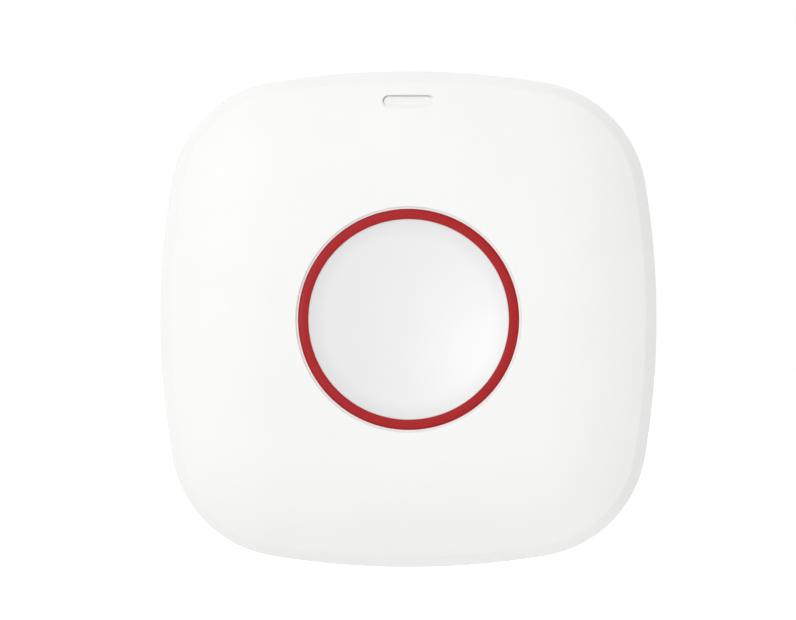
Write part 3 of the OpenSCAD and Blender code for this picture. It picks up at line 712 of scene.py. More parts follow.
class Wiring:
    """Adds nodes to one tree."""

    def __init__(self, tree):
        self.tree = tree

    def node(self, kind, settings=None, sockets=None, out=0):
        """Makes a node, sets it up, links or sets its sockets, and gives one of its outputs."""
        made = self.tree.nodes.new(kind)
        for key, value in (settings or {}).items():
            setattr(made, key, value)
        for key, value in (sockets or {}).items():
            for signal in value if isinstance(value, list) else [value]:
                if isinstance(signal, Signal):
                    self.tree.links.new(signal.socket, made.inputs[key])
                else:
                    made.inputs[key].default_value = signal
        return Signal(self, made.outputs[out]) if made.outputs else None

    def smooth(self, value, low, high):
        """Soft step from nought to one between two values."""
        ramp = {"clamp": True, "interpolation_type": "SMOOTHSTEP"}
        return self.node("ShaderNodeMapRange", ramp, {"Value": value, "From Min": low, "From Max": high})

    def seen(self):
        """One for what the camera sees, also in a reflection or through glass, and else nothing."""
        hidden = 1.0
        for ray in ("Camera", "Glossy", "Transmission"):
            hidden = hidden * (1.0 - self.node("ShaderNodeLightPath", out=f"Is {ray} Ray"))
        return 1.0 - hidden


def linear(tint):
    """Screen colour as light."""
    return tuple(c / 12.92 if c <= 0.04045 else ((c + 0.055) / 1.055) ** 2.4 for c in tint)


def tinted(tint, gain):
    return (*(min(c * gain, 1.0) for c in linear(tint)), 1.0)


class Finish(Wiring):
    """Material under construction."""

    def __init__(self, name):
        self.material = bpy.data.materials.new(name)
        self.material.use_nodes = True
        super().__init__(self.material.node_tree)
        self.tree.nodes.clear()
        self.spot = self.node("ShaderNodeTexCoord", out="Object")

    def noise(self, scale, detail=2.0, roughness=0.5, spot=None):
        sockets = {"Vector": spot or self.spot, "Scale": scale, "Detail": detail, "Roughness": roughness}
        return self.node("ShaderNodeTexNoise", None, sockets, "Fac")

    def blend(self, factor, a, b):
        return self.node("ShaderNodeMix", {"data_type": "RGBA"}, {0: factor, 6: a, 7: b}, 2)

    def drift(self, factor, tint, dark, light):
        """Tint that drifts between a darker and a lighter gain."""
        return self.blend(factor, tinted(tint, dark), tinted(tint, light))

    def from_axis(self):
        """Distance from the depth axis."""
        across, up = (self.node("ShaderNodeSeparateXYZ", None, {"Vector": self.spot}, name) for name in "XZ")
        return (across * across + up * up) ** 0.5

    def bump(self, height, strength, distance):
        sockets = {"Height": height, "Strength": strength, "Distance": distance}
        return self.node("ShaderNodeBump", None, sockets)

    def done(self, **values):
        """Closes the tree with one surface shader."""
        names = {key: key.replace("_", " ").title().replace("Ior", "IOR") for key in values}
        sockets = {names[key]: value for key, value in values.items()}
        surface = self.node("ShaderNodeBsdfPrincipled", None, sockets)
        self.node("ShaderNodeOutputMaterial", None, {"Surface": surface})
        return self.material


def moulded(name, tint, rough, grain, drift=0.02, fine=FINE_GRAIN, shine=0.5, rim=None):
    """Moulded plastic: faint drift of colour, patches of gloss and a fine grain, and painted shade darker
    towards a rim radius where one is given.
    """
    f = Finish(name)
    tone = f.drift(f.noise(CLOUD_SCALE, 3.0), tint, 1 - drift, 1 + drift)
    # Painted shade: towards the rim radius the colour darkens to 0.92 of its tone, standing in for the shade
    # that the raised ring casts on the dish's edge.
    if rim is not None:
        tone = f.blend(f.smooth(f.from_axis(), 0.8 * rim, rim), tone, tinted(tint, 0.92))
    height = f.noise(fine, 2.0, 0.6) + 0.35 * f.noise(fine / 4)
    return f.done(
        base_color=tone,
        roughness=rough - 0.04 + 0.08 * f.noise(PATCH_SCALE),
        normal=f.bump(height, grain, GRAIN_DEPTH),
        specular_ior_level=shine,
    )


def milky(name, tint):
    """Diffuser: pale translucent plastic, a little cloudy."""
    f = Finish(name)
    return f.done(
        base_color=f.drift(f.noise(420.0, 3.0), tint, 0.975, 1.015),
        roughness=0.3 + 0.08 * f.noise(900.0),
        normal=f.bump(f.noise(2600.0), 0.06, 0.00002),
        subsurface_weight=0.25,
        subsurface_radius=(0.0003, 0.0003, 0.00027),
        subsurface_scale=1.0,
    )


def rubbery(name, tint):
    """Seal rubber: dull, with dust in its pores."""
    f = Finish(name)
    dust = f.noise(1900.0, 4.0, 0.7)
    return f.done(
        base_color=f.drift(dust**3.0, tint, 0.9, 1.7),
        roughness=0.72 + 0.2 * f.noise(600.0, 3.0),
        normal=f.bump(f.noise(FINE_GRAIN, 3.0, 0.7), 0.35, 0.00005),
    )


def plated(name, tint, rough, drawn=(1.0, 1.0, 1.0)):
    """Plated metal: fine drawn lines, cloudy gloss and specks of tarnish."""
    f = Finish(name)
    stretched = f.node("ShaderNodeMapping", None, {"Vector": f.spot, "Scale": drawn})
    lines = f.noise(2200.0, 4.0, 0.7, stretched)
    cloud = f.noise(320.0, 3.0)
    specks = f.noise(2600.0, 4.0, 0.8) ** 6.0
    return f.done(
        base_color=f.blend(specks, f.drift(cloud, tint, 0.9, 1.05), tinted(tint, 0.45)),
        metallic=1.0,
        roughness=rough - 0.05 + 0.12 * lines + 0.06 * cloud,
        normal=f.bump(lines, 0.12, GRAIN_DEPTH),
    )


def spun(name, tint, rough):
    """Turned metal: rings about the depth axis."""
    f = Finish(name)
    ring_spot = f.node("ShaderNodeCombineXYZ", None, {"X": f.from_axis() * 9000.0})
    rings = f.noise(1.0, 3.0, 0.6, ring_spot)
    cloud = f.noise(240.0, 3.0)
    return f.done(
        base_color=f.drift(cloud, tint, 0.9, 1.04),
        metallic=1.0,
        roughness=rough - 0.05 + 0.14 * rings + 0.05 * cloud,
        normal=f.bump(rings, 0.15, 0.00002),
    )


def masked(name, tint, gloss):
    """Solder mask over glass weave."""
    f = Finish(name)
    weave = 1.0
    for way in "XZ":
        bands = {"bands_direction": way, "wave_type": "BANDS"}
        threads = {"Vector": f.spot, "Scale": 700.0, "Distortion": 0.6}
        weave = weave * f.node("ShaderNodeTexWave", bands, threads, "Fac")
    return f.done(
        base_color=f.drift(weave * 0.6 + 0.4 * f.noise(220.0), tint, 0.82, 1.18),
        roughness=gloss + 0.1 * f.noise(500.0),
        normal=f.bump(weave + 0.5 * f.noise(3000.0), 0.08, 0.00002),
    )


class Palette:
    """Every finish, made once."""

    def __init__(self, scene):
        s = scene.panic_finish
        button = scene.panic_button
        rim = button.ring_radius - button.ring_width
        self.case = moulded("case_white", s.case_white, s.satin, s.grain, shine=0.35)
        self.plate = moulded("plate_white", s.plate_white, s.satin + 0.1, s.grain * 1.8, 0.025, 3600.0)
        # The dish's colour carries painted shade towards its edge, where the ring shades it.
        gloss = {"shine": 0.9, "rim": rim}
        self.dish = moulded("dish_grey", s.dish_grey, s.satin - 0.13, s.grain * 0.7, 0.015, **gloss)
        self.red = moulded("ring_red", s.ring_red, s.satin - 0.1, s.grain, 0.05, shine=0.25)
        self.milk = milky("window_milk", s.window_milk)
        self.rubber = rubbery("seal_rubber", s.rubber_grey)
        self.mask = masked("solder_mask", s.mask_green, 0.3)
        self.track = masked("masked_copper", s.track_green, 0.26)
        self.black = moulded("black_plastic", s.black, 0.5, s.grain * 2.5, 0.12, 4200.0)
        self.nickel = plated("nickel_sheet", s.nickel, 0.26, (0.06, 1.0, 1.0))
        self.spun = spun("spun_steel", s.nickel, 0.24)
        self.gold = plated("gold_strip", s.gold, 0.24, (1.0, 1.0, 0.06))
        self.zinc = plated("zinc_steel", s.zinc, 0.3)
        self.tin = plated("tin_ends", s.nickel, 0.34)
        self.ceramic = moulded("brown_ceramic", s.ceramic, 0.5, s.grain, 0.1)


PALETTE = []


def palette(context):
    if not PALETTE:
        PALETTE.append(Palette(context.scene))
    return PALETTE[0]


# Repeats and wires


class Pattern(Wiring):
    """Geometry tree under construction, with named inputs."""

    def __init__(self, name, inputs):
        self.group = bpy.data.node_groups.new(name, "GeometryNodeTree")
        super().__init__(self.group)
        sockets = self.group.interface
        for way in ("INPUT", "OUTPUT"):
            sockets.new_socket(name="Geometry", in_out=way, socket_type="NodeSocketGeometry")
        self.values = {}
        for key, (kind, value) in inputs.items():
            socket = sockets.new_socket(name=key, in_out="INPUT", socket_type="NodeSocket" + kind)
            self.values[socket.identifier] = value
        entry = self.group.nodes.new("NodeGroupInput")
        self.inputs = {socket.name: Signal(self, socket) for socket in entry.outputs}

    def painted(self, shape, finish):
        real = self.node("GeometryNodeRealizeInstances", None, {"Geometry": shape})
        return self.node("GeometryNodeSetMaterial", None, {"Geometry": real, "Material": self.inputs[finish]})

    def run(self, name, points, edges, result):
        """Grows the result on an object of bare points and edges, and leaves a plain mesh."""
        self.node("NodeGroupOutput", None, {0: result})
        mesh = bpy.data.meshes.new(name)
        mesh.from_pydata(points, edges, [])
        made = new_object(name, mesh)
        step = made.modifiers.new(self.group.name, "NODES")
        step.node_group = self.group
        for identifier, value in self.values.items():
            step[identifier] = value
        settle(made)
        bpy.data.node_groups.remove(self.group)
        shade(made)
        return made


def strands(name, paths, radius, finish, flat=None):
    """Round wires along bench paths, or flat strips where a thickness is given."""
    points, edges = [], []
    for path in paths:
        edges += [(len(points) + i, len(points) + i + 1) for i in range(len(path) - 1)]
        points += [(x * MM, y * MM, z * MM) for x, y, z in path]
    inputs = {"Half width": ("Float", radius * MM), "Thickness": ("Float", (flat or 0.0) * MM)}
    tree = Pattern("strand", {**inputs, "Finish": ("Material", finish)})
    line = tree.node("GeometryNodeMeshToCurve", None, {"Mesh": tree.inputs["Geometry"]})
    half = tree.inputs["Half width"]
    if flat is None:
        section = tree.node("GeometryNodeCurvePrimitiveCircle", None, {"Resolution": 14, "Radius": half})
    else:
        line = tree.node("GeometryNodeSetCurveNormal", {"mode": "Z_UP"}, {"Curve": line})
        sizes = {"Width": half * 2.0, "Height": tree.inputs["Thickness"]}
        section = tree.node("GeometryNodeCurvePrimitiveQuadrilateral", None, sizes)
    sockets = {"Curve": line, "Profile Curve": section, "Fill Caps": True}
    body = tree.node("GeometryNodeCurveToMesh", None, sockets)
    upright = {"Geometry": body, "Rotation": (math.pi / 2, 0.0, 0.0)}
    wire = tree.node("GeometryNodeTransform", None, upright)
    return tree.run(name, points, edges, tree.painted(wire, "Finish"))


def repeat(name, spots, parts, turn=0.0, seed=3):
    """Copies of small skins at bench spots, each turned by a chance angle about its depth axis."""
    inputs = {"Most turn": ("Float", turn), "Seed": ("Int", seed)}
    shapes = [skin.piece(f"{name}_{i}", cut=cut) for i, (skin, cut, _) in enumerate(parts)]
    for i, shape in enumerate(shapes):
        inputs[f"Shape {i}"] = ("Object", shape)
        inputs[f"Finish {i}"] = ("Material", parts[i][2])
    tree = Pattern(f"{name}_pattern", inputs)
    chance = {2: 0.0, 3: tree.inputs["Most turn"], 8: tree.inputs["Seed"]}
    angle = tree.node("FunctionNodeRandomValue", {"data_type": "FLOAT"}, chance, 1)
    turned = tree.node("ShaderNodeCombineXYZ", None, {"Y": angle})
    groups = []
    for i in range(len(parts)):
        shape = tree.node("GeometryNodeObjectInfo", None, {"Object": tree.inputs[f"Shape {i}"]}, "Geometry")
        sockets = {"Points": tree.inputs["Geometry"], "Instance": shape, "Rotation": turned}
        groups.append(tree.painted(tree.node("GeometryNodeInstanceOnPoints", None, sockets), f"Finish {i}"))
    whole = tree.node("GeometryNodeJoinGeometry", None, {"Geometry": groups})
    made = tree.run(name, stood(spots), [], whole)
    for shape in shapes:
        discard(shape)
    return made


def coil(radius, turns, low, high, dead=0.0, steps=44):
    """Helix along z; its end turns lie flat for a share of a turn."""
    count = int(turns * steps)
    path = []
    for i in range(count + 1):
        turn = turns * i / count
        rise = min(max((turn - dead) / (turns - 2 * dead), 0.0), 1.0)
        path.append((*polar(radius, 360 * turn), low + (high - low) * rise))
    return path


# Shells


def slot_ring(plan, block, grow, part):
    """Points on the indicator slot's edge, one for each point of the block of face round it."""
    reach = (plan.slot_w - plan.slot_h) / 2
    radius = plan.slot_h / 2 + grow
    ring = []
    for x, y, _ in block:
        near = max(-reach, min(reach, x))
        away = Vector((x - near, y - plan.slot_y)).normalized()
        x_on, y_on = near + away.x * radius, plan.slot_y + away.y * radius
        ring.append((x_on + SLOT_SHIFT[0] * part, y_on + SLOT_SHIFT[1] * part))
    return ring


def block_edge(rows, left, right):
    """Indices round a block of grid rows between two columns."""
    edge = rows[0][left:right]
    edge += [row[right] for row in rows[:-1]]
    edge += rows[-1][right:left:-1]
    edge += [row[left] for row in rows[:0:-1]]
    return edge


def cover_skin(plan):
    """Front shell as one closed grid, open at the button hole and the indicator slot."""
    skin = Skin()
    skirt_in = plan.draft + 0.9
    step_z = plan.seal + SEAL_T
    under = plan.face - plan.face_t
    slot_rows = [2.6 + 0.4 * i for i in range(11)]
    outer_rows = [2.0, *slot_rows, 7.2, *range(8, 16), 15.8, plan.flat_in]
    roof_rows = [plan.flat_in, 14.0, 11.5, 9.0, 7.6, *reversed(slot_rows)]
    side = [
        (skirt_in, plan.cover, 0),
        (plan.draft, plan.cover, 0.2),
        (0.0, plan.rim, plan.soft),
        (plan.rim_w, plan.edge, 1.2),
        (2.0, plan.face_at(2.0), 0),
    ]
    hole = [
        (plan.lip_r + 1.2, plan.face, 0),
        (plan.lip_r, plan.face, 0.03),
        (plan.ledge_r, plan.ledge, 0.04),
        (plan.hole_r, plan.ledge - 0.02, 0.05),
        (plan.hole_r, plan.collar, 0.25),
        (plan.collar_r, plan.collar, 0.25),
        (plan.collar_r, under, 0.4),
        (plan.collar_r + 0.6, under, 0),
    ]
    lining = [
        (2.5, plan.roof_at(2.5), 0),
        (plan.cavity_in, plan.rim - plan.face_t, 0.5),
        (plan.cavity_in, step_z, 0),
        (skirt_in, step_z, 0.1),
        (skirt_in, plan.cover, 0.1),
        (plan.draft + 0.4, plan.cover, 0),
    ]
    outside = soften(side, 5)[1:-1]
    first_slot = len(outside) + 1
    outside += [(u, plan.face_at(u)) for u in outer_rows]
    inside = [(u, plan.roof_at(u)) for u in roof_rows] + soften(lining, 3)
    bore = soften(hole, 6)
    flat = plan.outline(plan.flat_in)
    turns = [math.atan2(y, x) for x, y in flat]

    def hole_ring(radius):
        return [(radius * math.cos(t), radius * math.sin(t)) for t in turns]

    def between(part):
        ends = zip(flat, hole_ring(bore[0][0]))
        return [(x + (hole_x - x) * part, y + (hole_y - y) * part) for (x, y), (hole_x, hole_y) in ends]

    loops = skin.stack(plan.outline, outside)
    loops += skin.stack(between, [(part, plan.face) for part in (0.25, 0.5, 0.75)])
    loops += skin.stack(hole_ring, bore)
    last_slot = first_slot + len(slot_rows) - 1
    last_roof = len(loops) + len(roof_rows) - 1
    roof_slot = last_roof - len(slot_rows) + 1
    loops += skin.stack(plan.outline, inside)
    middle = SIDE_COLUMNS + CORNER_COLUMNS + SIDE_COLUMNS // 2
    left, right = middle - SLOT_COLUMNS, middle + SLOT_COLUMNS
    columns = len(plan.spokes)
    for i, a in enumerate(loops):
        b = loops[(i + 1) % len(loops)]
        slotted = first_slot <= i < last_slot or roof_slot <= i < last_roof
        for j in range(columns):
            if slotted and left <= j < right:
                continue
            k = (j + 1) % columns
            skin.face(a[j], a[k], b[k], b[j])
    outer_edge = block_edge(loops[first_slot : last_slot + 1], left, right)
    roof_edge = block_edge(loops[last_roof : roof_slot - 1 : -1], left, right)
    block = [skin.points[i] for i in outer_edge]

    def slot_loop(grow, drop):
        part = drop / plan.window_drop
        ring = slot_ring(plan, block, grow, part)
        return skin.loop([(x, y, plan.window_at(x, y, part)) for x, y in ring])

    lean = soften([(0.7, 0.0, 0), (0.03, 0.0, 0.06), (-SLOT_LEAN, plan.window_drop, 0)])
    walls = [outer_edge, *(slot_loop(grow, drop) for grow, drop in lean)]
    foot = slot_ring(plan, block, -SLOT_LEAN, 1.0)
    walls.append(skin.loop([(x, y, plan.roof_over(x, y)) for x, y in foot]))
    skin.tube([*walls, roof_edge])
    return skin


def boss(skin, plan, at, radius, bore, low, depth):
    """Screw boss that grows out of the face's underside, with a blind pilot hole."""

    def ring(r):
        return circle(r, 40, at)

    root = skin.loop([(x, y, plan.roof_over(x, y) + 0.6) for x, y in ring(radius)])
    levels = [(radius, low + 0.2), (radius - 0.2, low), (bore + 0.25, low), (bore, low + 0.25), (bore, depth)]
    skin.solid([root, *skin.stack(ring, levels)])


class PANIC_OT_front_cover(bpy.types.Operator):
    """Front shell with its bevel, button collar, bosses and window seat"""

    bl_idname = "panic_button.front_cover"
    bl_label = "Front cover"

    def execute(self, context):
        plan = Plan(context.scene)
        skin, joined = cover_skin(plan), Skin()
        pilot_air = 0.6
        for spot in plan.pillar_spots:
            depth = plan.screw_seat + HOUSING_SCREW_L + pilot_air
            boss(joined, plan, spot, PILLAR_R, 1.3, plan.cover, depth)
        for spot in plan.post_spots:
            boss(joined, plan, spot, 2.4, 0.95, plan.board_top, plan.board + BOARD_SCREW_L + pilot_air)
        at = (0.0, plan.slot_y)
        inner = pill_shape(plan.slot_w, plan.slot_h, at)(-0.02)
        outer = pill_shape(plan.slot_w + 2.0, plan.slot_h + 2.0, at)(0.0)
        seat = []
        for ring, buried in ((inner, True), (inner, False), (outer, False), (outer, True)):
            points = []
            for x, y in ring:
                root = max(plan.roof_over(x, y) + 0.5, plan.seat + 0.4)
                points.append((x, y, root if buried else plan.seat))
            seat.append(joined.loop(points))
        joined.tube(seat, closed=True)
        made = skin.piece("front_cover_shell", palette(context).case, joined=[joined])
        place(made, "housing", "case_plastic", "front_cover")
        return {"FINISHED"}


class PANIC_OT_rear_housing(bpy.types.Operator):
    """Rear shell with keyholes, screw pillars, battery well and tongue"""

    bl_idname = "panic_button.rear_housing"
    bl_label = "Rear housing"

    def execute(self, context):
        plan = Plan(context.scene)
        skin, joined, stops = Skin(), Skin(), Skin()
        first, second, third = Skin(), Skin(), Skin()
        root = plan.floor - BURY
        inner = plan.rear_in + plan.wall
        shell = [
            (plan.rear_in + 2.0, plan.back, 0),
            (plan.rear_in + 0.8, plan.back, 0.5),
            (plan.rear_in, plan.back + 0.8, 0.6),
            (plan.draft, plan.seam, 0.18),
            (plan.tongue_in, plan.seam, 0.1),
            (plan.tongue_in, plan.seal, 0.15),
            (plan.tongue_out, plan.seal, 0.15),
            (plan.tongue_out, plan.seam - 1.6, 0.5),
            (inner, plan.floor, 0.4),
            (inner + 1.0, plan.floor, 0),
        ]
        skin.pad(plan.outline, soften(shell))

        def flared(top, flare=0.2):
            return [(-2 * flare, plan.back - flare), (0, plan.back + flare), (0, top)]

        def keyhole(x, y, width):
            return pill_shape(KEY_RUN + width, width, (x, y - KEY_RUN / 2), True)

        pillar = [(0, root), (0, plan.cover - 0.2), (0.2, plan.cover)]
        for spot in plan.pillar_spots:
            joined.pad(disc_shape(PILLAR_R, spot), pillar)
        pocket = [(0, root), (0, POCKET_TOP - 0.4), (0.12, POCKET_TOP - 0.12), (0.4, POCKET_TOP)]
        for x, y in plan.stud_spots:
            joined.pad(keyhole(x, y, KEY_HEAD_W + 2 * POCKET_WALL), pocket)
            first.pad(keyhole(x, y, KEY_HEAD_W), [(0, plan.floor), (0, POCKET_TOP - POCKET_WALL)])
            second.pad(keyhole(x, y, KEY_NECK_W), flared(plan.floor + 0.5))
            third.pad(disc_shape(KEY_HEAD_W / 2, (x, y - KEY_RUN)), flared(plan.floor + 0.5))
        for spot in plan.pillar_spots:
            second.pad(disc_shape(2.4, spot), flared(plan.screw_seat))
            third.pad(disc_shape(1.35, spot), [(0, plan.screw_seat - 0.5), (0, plan.cover + 1.0)])
        channel_out, well_out = plan.channel_r + WELL_WALL, plan.well_r + WELL_WALL
        well = [
            (plan.channel_r, root),
            (channel_out, root),
            (channel_out, plan.shelf + 0.8),
            (channel_out - 0.2, plan.shelf + 1.0),
            (well_out, plan.shelf + 1.0),
            (well_out, plan.cell_top),
            (plan.well_r + 0.3, plan.cell_top),
            (plan.well_r, plan.cell_top - 0.3),
            (plan.well_r, plan.shelf),
            (plan.channel_r, plan.shelf),
        ]
        joined.sleeve(well, LARGE_STEPS)
        # The door's hole has other steps than the well, so that their edges don't coincide
        second.pad(disc_shape(plan.door_r + DOOR_AIR, steps=LARGE_STEPS - 4), flared(plan.floor + 0.05, 0.25))
        contact_slot = box_shape(4.8, 3.4, 0.2, (0.0, -plan.well_r - 0.7))
        second.pad(contact_slot, [(0, plan.shelf + 1.0), (0, plan.cell_top + 1.0)])
        second.pad(disc_shape(1.1, plan.tamper, 32), flared(plan.floor + 1.0, 0.15))
        notch = (plan.door_r - 1.6, plan.channel_r - 0.03, plan.back - 1.0, plan.floor + 0.3)
        stop = (plan.lug_r - 0.8, plan.channel_r + 0.7, root, plan.shelf + 0.5)
        for i in range(LUG_COUNT):
            start = LUG_STEP * i - DOOR_TURN - NOTCH_SPARE
            third.arc_ring(*notch, start, LUG_ARC + 2 * NOTCH_SPARE, 0.05)
            stops.arc_ring(*stop, LUG_STEP * i + LUG_ARC + 1, STOP_ARC, steps=4)
        mark = [(0, plan.back + 0.3), (0, plan.back - 0.06), (0.1, plan.back - 0.12)]
        for angle in (DOOR_MARK, DOOR_MARK - DOOR_TURN):
            stops.pad(disc_shape(0.45, polar(plan.channel_r + 0.9, angle), 24), mark)
        white = palette(context).case
        made = skin.piece("rear_housing_shell", white, joined=[joined, stops], cut=[first, second, third])
        place(made, "housing", "case_plastic", "rear_housing")
        return {"FINISHED"}


class PANIC_OT_wall_plate(bpy.types.Operator):
    """Wall plate with its window, countersunk holes, tamper slope and studs"""

    bl_idname = "panic_button.wall_plate"
    bl_label = "Wall plate"

    def execute(self, context):
        plan = Plan(context.scene)
        skin, joined, cut = Skin(), Skin(), Skin()
        top = plan.plate_t
        inner = plan.plate_in + 3.0
        edge = [(inner, 0.0, 0), (plan.plate_in, 0.0, 0.25), (plan.plate_in, top, 0.6), (inner, top, 0)]
        skin.pad(plan.outline, soften(edge, 5))
        head = plan.floor + 0.1
        stud = [
            (0.0, top / 2, 0),
            (STUD_NECK_R + 0.5, top / 2, 0),
            (STUD_NECK_R + 0.5, top, 0),
            (STUD_NECK_R, top + 0.5, 0.5),
            (STUD_NECK_R, head, 0),
            (STUD_HEAD_R, head, 0.12),
            (STUD_HEAD_R, head + 1.2, 0.4),
            (0.0, head + 1.2, 0),
        ]
        for spot in plan.stud_spots:
            joined.turned(soften(stud), 56, spot)
        window = [(-0.6, -0.3), (-0.3, 0.0), (0, 0.3), (0, top - 0.4), (-0.4, top), (-0.8, top + 0.4)]
        cut.pad(disc_shape(plan.door_r + 4.0, steps=LARGE_STEPS), window)
        countersink = [(0, -1.0), (0, top - 1.7), (-1.7, top), (-2.2, top + 0.5)]
        for side in SIDES:
            cut.pad(disc_shape(2.1, (0.0, side * 25.0)), countersink)
        x, y = plan.tamper
        low, high = y - ROD_R, y - ROD_R + TAMPER_RAMP
        deep = top - TAMPER_RAMP / TAMPER_RATIO
        ramp = [(x - 1.5, low, top), (x + 1.5, low, top), (x + 1.5, high, deep), (x - 1.5, high, deep)]
        lid = [(px, py, top + 1.0) for px, py, _ in ramp]
        cut.solid([cut.loop(ramp), cut.loop(lid)])
        made = skin.piece("wall_plate_moulding", palette(context).plate, joined=[joined], cut=[cut])
        place(made, "wall_plate", "plate_plastic", "wall_plate")
        return {"FINISHED"}


class PANIC_OT_seals(bpy.types.Operator):
    """Rubber seals of the shells and the battery door"""

    bl_idname = "panic_button.seals"
    bl_label = "Seals"

    def execute(self, context):
        plan = Plan(context.scene)
        rubber = palette(context).rubber
        cord, ring = Skin(), Skin()
        levels = (plan.seal, plan.seal + SEAL_T)
        section = ring_section(plan.tongue_in, plan.tongue_out, *levels, (0.2, 0.2, 0.39, 0.39))
        cord.tube(cord.stack(plan.outline, section), closed=True)
        place(cord.piece("housing_seal_cord", rubber), "housing", "seal_rubber", "housing_seal")
        levels = (plan.lug_top + 0.05, plan.shelf)
        section = ring_section(plan.well_r, plan.door_r - DOOR_AIR, *levels, [0.15] * 4)
        ring.sleeve(section, LARGE_STEPS)
        place(ring.piece("door_seal_ring", rubber), "housing", "seal_rubber", "door_seal")
        return {"FINISHED"}


# Button and window


class PANIC_OT_button_cap(bpy.types.Operator):
    """Concave button cap with its skirt, stop flange, post and spring rib"""

    bl_idname = "panic_button.button_cap"
    bl_label = "Button cap"

    def execute(self, context):
        plan = Plan(context.scene)
        skin, joined = Skin(), Skin()
        skirt = plan.cap_r - 1.7
        flange_r = plan.cap_r + 1.3
        flange_top = plan.flange + FLANGE_T
        rim = plan.dish_r - 0.02
        bowl = rim - 1.0

        def dish(r):
            return plan.dish_low + plan.dish_sphere - math.sqrt(plan.dish_sphere**2 - r * r)

        outside = [
            (0.0, plan.cap_under, 0),
            (skirt, plan.cap_under, 0.8),
            (skirt, plan.flange, 0.15),
            (flange_r, plan.flange, 0.2),
            (flange_r, flange_top, 0.2),
            (plan.cap_r, flange_top, 0.2),
            (plan.cap_r, plan.ring_low, 0.2),
            (rim, plan.ring_low, 0.1),
            (rim, dish(rim), 0.03),
            (bowl, dish(bowl), 0),
        ]
        radii = [bowl - 0.5 * i for i in range(1, 28)]
        hollow = [(r, dish(r)) for r in radii if r > 0.2]
        skin.turned([*soften(outside, 5), *hollow, (0.0, plan.dish_low)], 192)
        root = plan.cap_under + BURY
        post_low = PIN_TOP + 0.05
        post = [(0.0, post_low, 0), (2.2, post_low, 0.3), (2.2, root, 0), (0.0, root, 0)]
        joined.turned(soften(post), 48)
        rib, rib_low = 6.35, plan.cap_under - 1.0
        section = [(rib, root), (rib, rib_low + 0.2), (rib + 0.2, rib_low)]
        section += [(rib + 0.6, rib_low), (rib + 0.8, rib_low + 0.2), (rib + 0.8, root)]
        joined.sleeve(section, 96)
        made = skin.piece("button_dish", palette(context).dish, joined=[joined])
        place(made, "button", "button_plastic", "button_cap")
        return {"FINISHED"}


class PANIC_OT_button_ring(bpy.types.Operator):
    """Red ring on the button's shoulder"""

    bl_idname = "panic_button.button_ring"
    bl_label = "Button ring"

    def execute(self, context):
        plan = Plan(context.scene)
        skin = Skin()
        softs = (0.1, 0.1, plan.ring_round, 0.09)
        skin.sleeve(ring_section(plan.dish_r, plan.ring_r, plan.ring_low, plan.ring_top, softs), 256)
        place(skin.piece("button_band", palette(context).red), "button", "red_plastic", "button_ring")
        return {"FINISHED"}


class PANIC_OT_led_window(bpy.types.Operator):
    """Indicator window that follows the face, with its flange and light guide"""

    bl_idname = "panic_button.led_window"
    bl_label = "Indicator window"

    def execute(self, context):
        plan = Plan(context.scene)
        skin, flange, guide = Skin(), Skin(), Skin()
        at = (WINDOW_SITS[0], plan.slot_y + WINDOW_SITS[1])
        body = pill_shape(plan.slot_w, plan.slot_h, at, steps=24)
        edge = SLOT_LEAN + WINDOW_GAP
        foot = plan.seat - 0.5
        loops = skin.stack(body, [(edge, foot)])
        for inset in (0.0, 0.15, 0.35, 0.55, 0.68):
            loops.append(skin.loop([(x, y, plan.window_at(x, y)) for x, y in body(edge + inset)]))
        skin.solid(loops)
        flange_pill = pill_shape(plan.slot_w + 1.0, plan.slot_h + 1.0, at)
        flange.pad(flange_pill, block_profile(plan.seat - 1.0, plan.seat, 0.15))
        guide_pill = pill_shape(plan.slot_w / 2, plan.slot_h, at)
        guide.pad(guide_pill, block_profile(plan.board_top + 1.2, foot, 0.12))
        made = skin.piece("indicator_window", palette(context).milk, joined=[flange, guide])
        place(made, "housing", "diffuser", "led_window")
        return {"FINISHED"}


# Inside


def block(skin, size, at, low, high, soft=0.06, corner=0.1):
    skin.pad(box_shape(*size, corner, at), block_profile(low, high, soft))


def strip(skin, width, thick, path):
    """Bent sheet strip along a path of up and out, centred on x = 0."""
    half = width / 2
    edge = half - 0.06
    corners = [(-edge, 1), (edge, 1), (half, 0.6), (half, -0.6)]
    corners += [(-x, -t) for x, t in corners]
    loops = []
    for i, (y, z) in enumerate(path):
        ahead = Vector(path[min(i + 1, len(path) - 1)]) - Vector(path[max(i - 1, 0)])
        across = Vector((-ahead.y, ahead.x)).normalized() * (thick / 2)
        loops.append(skin.loop([(x, y + across.x * t, z + across.y * t) for x, t in corners]))
    skin.solid(loops)


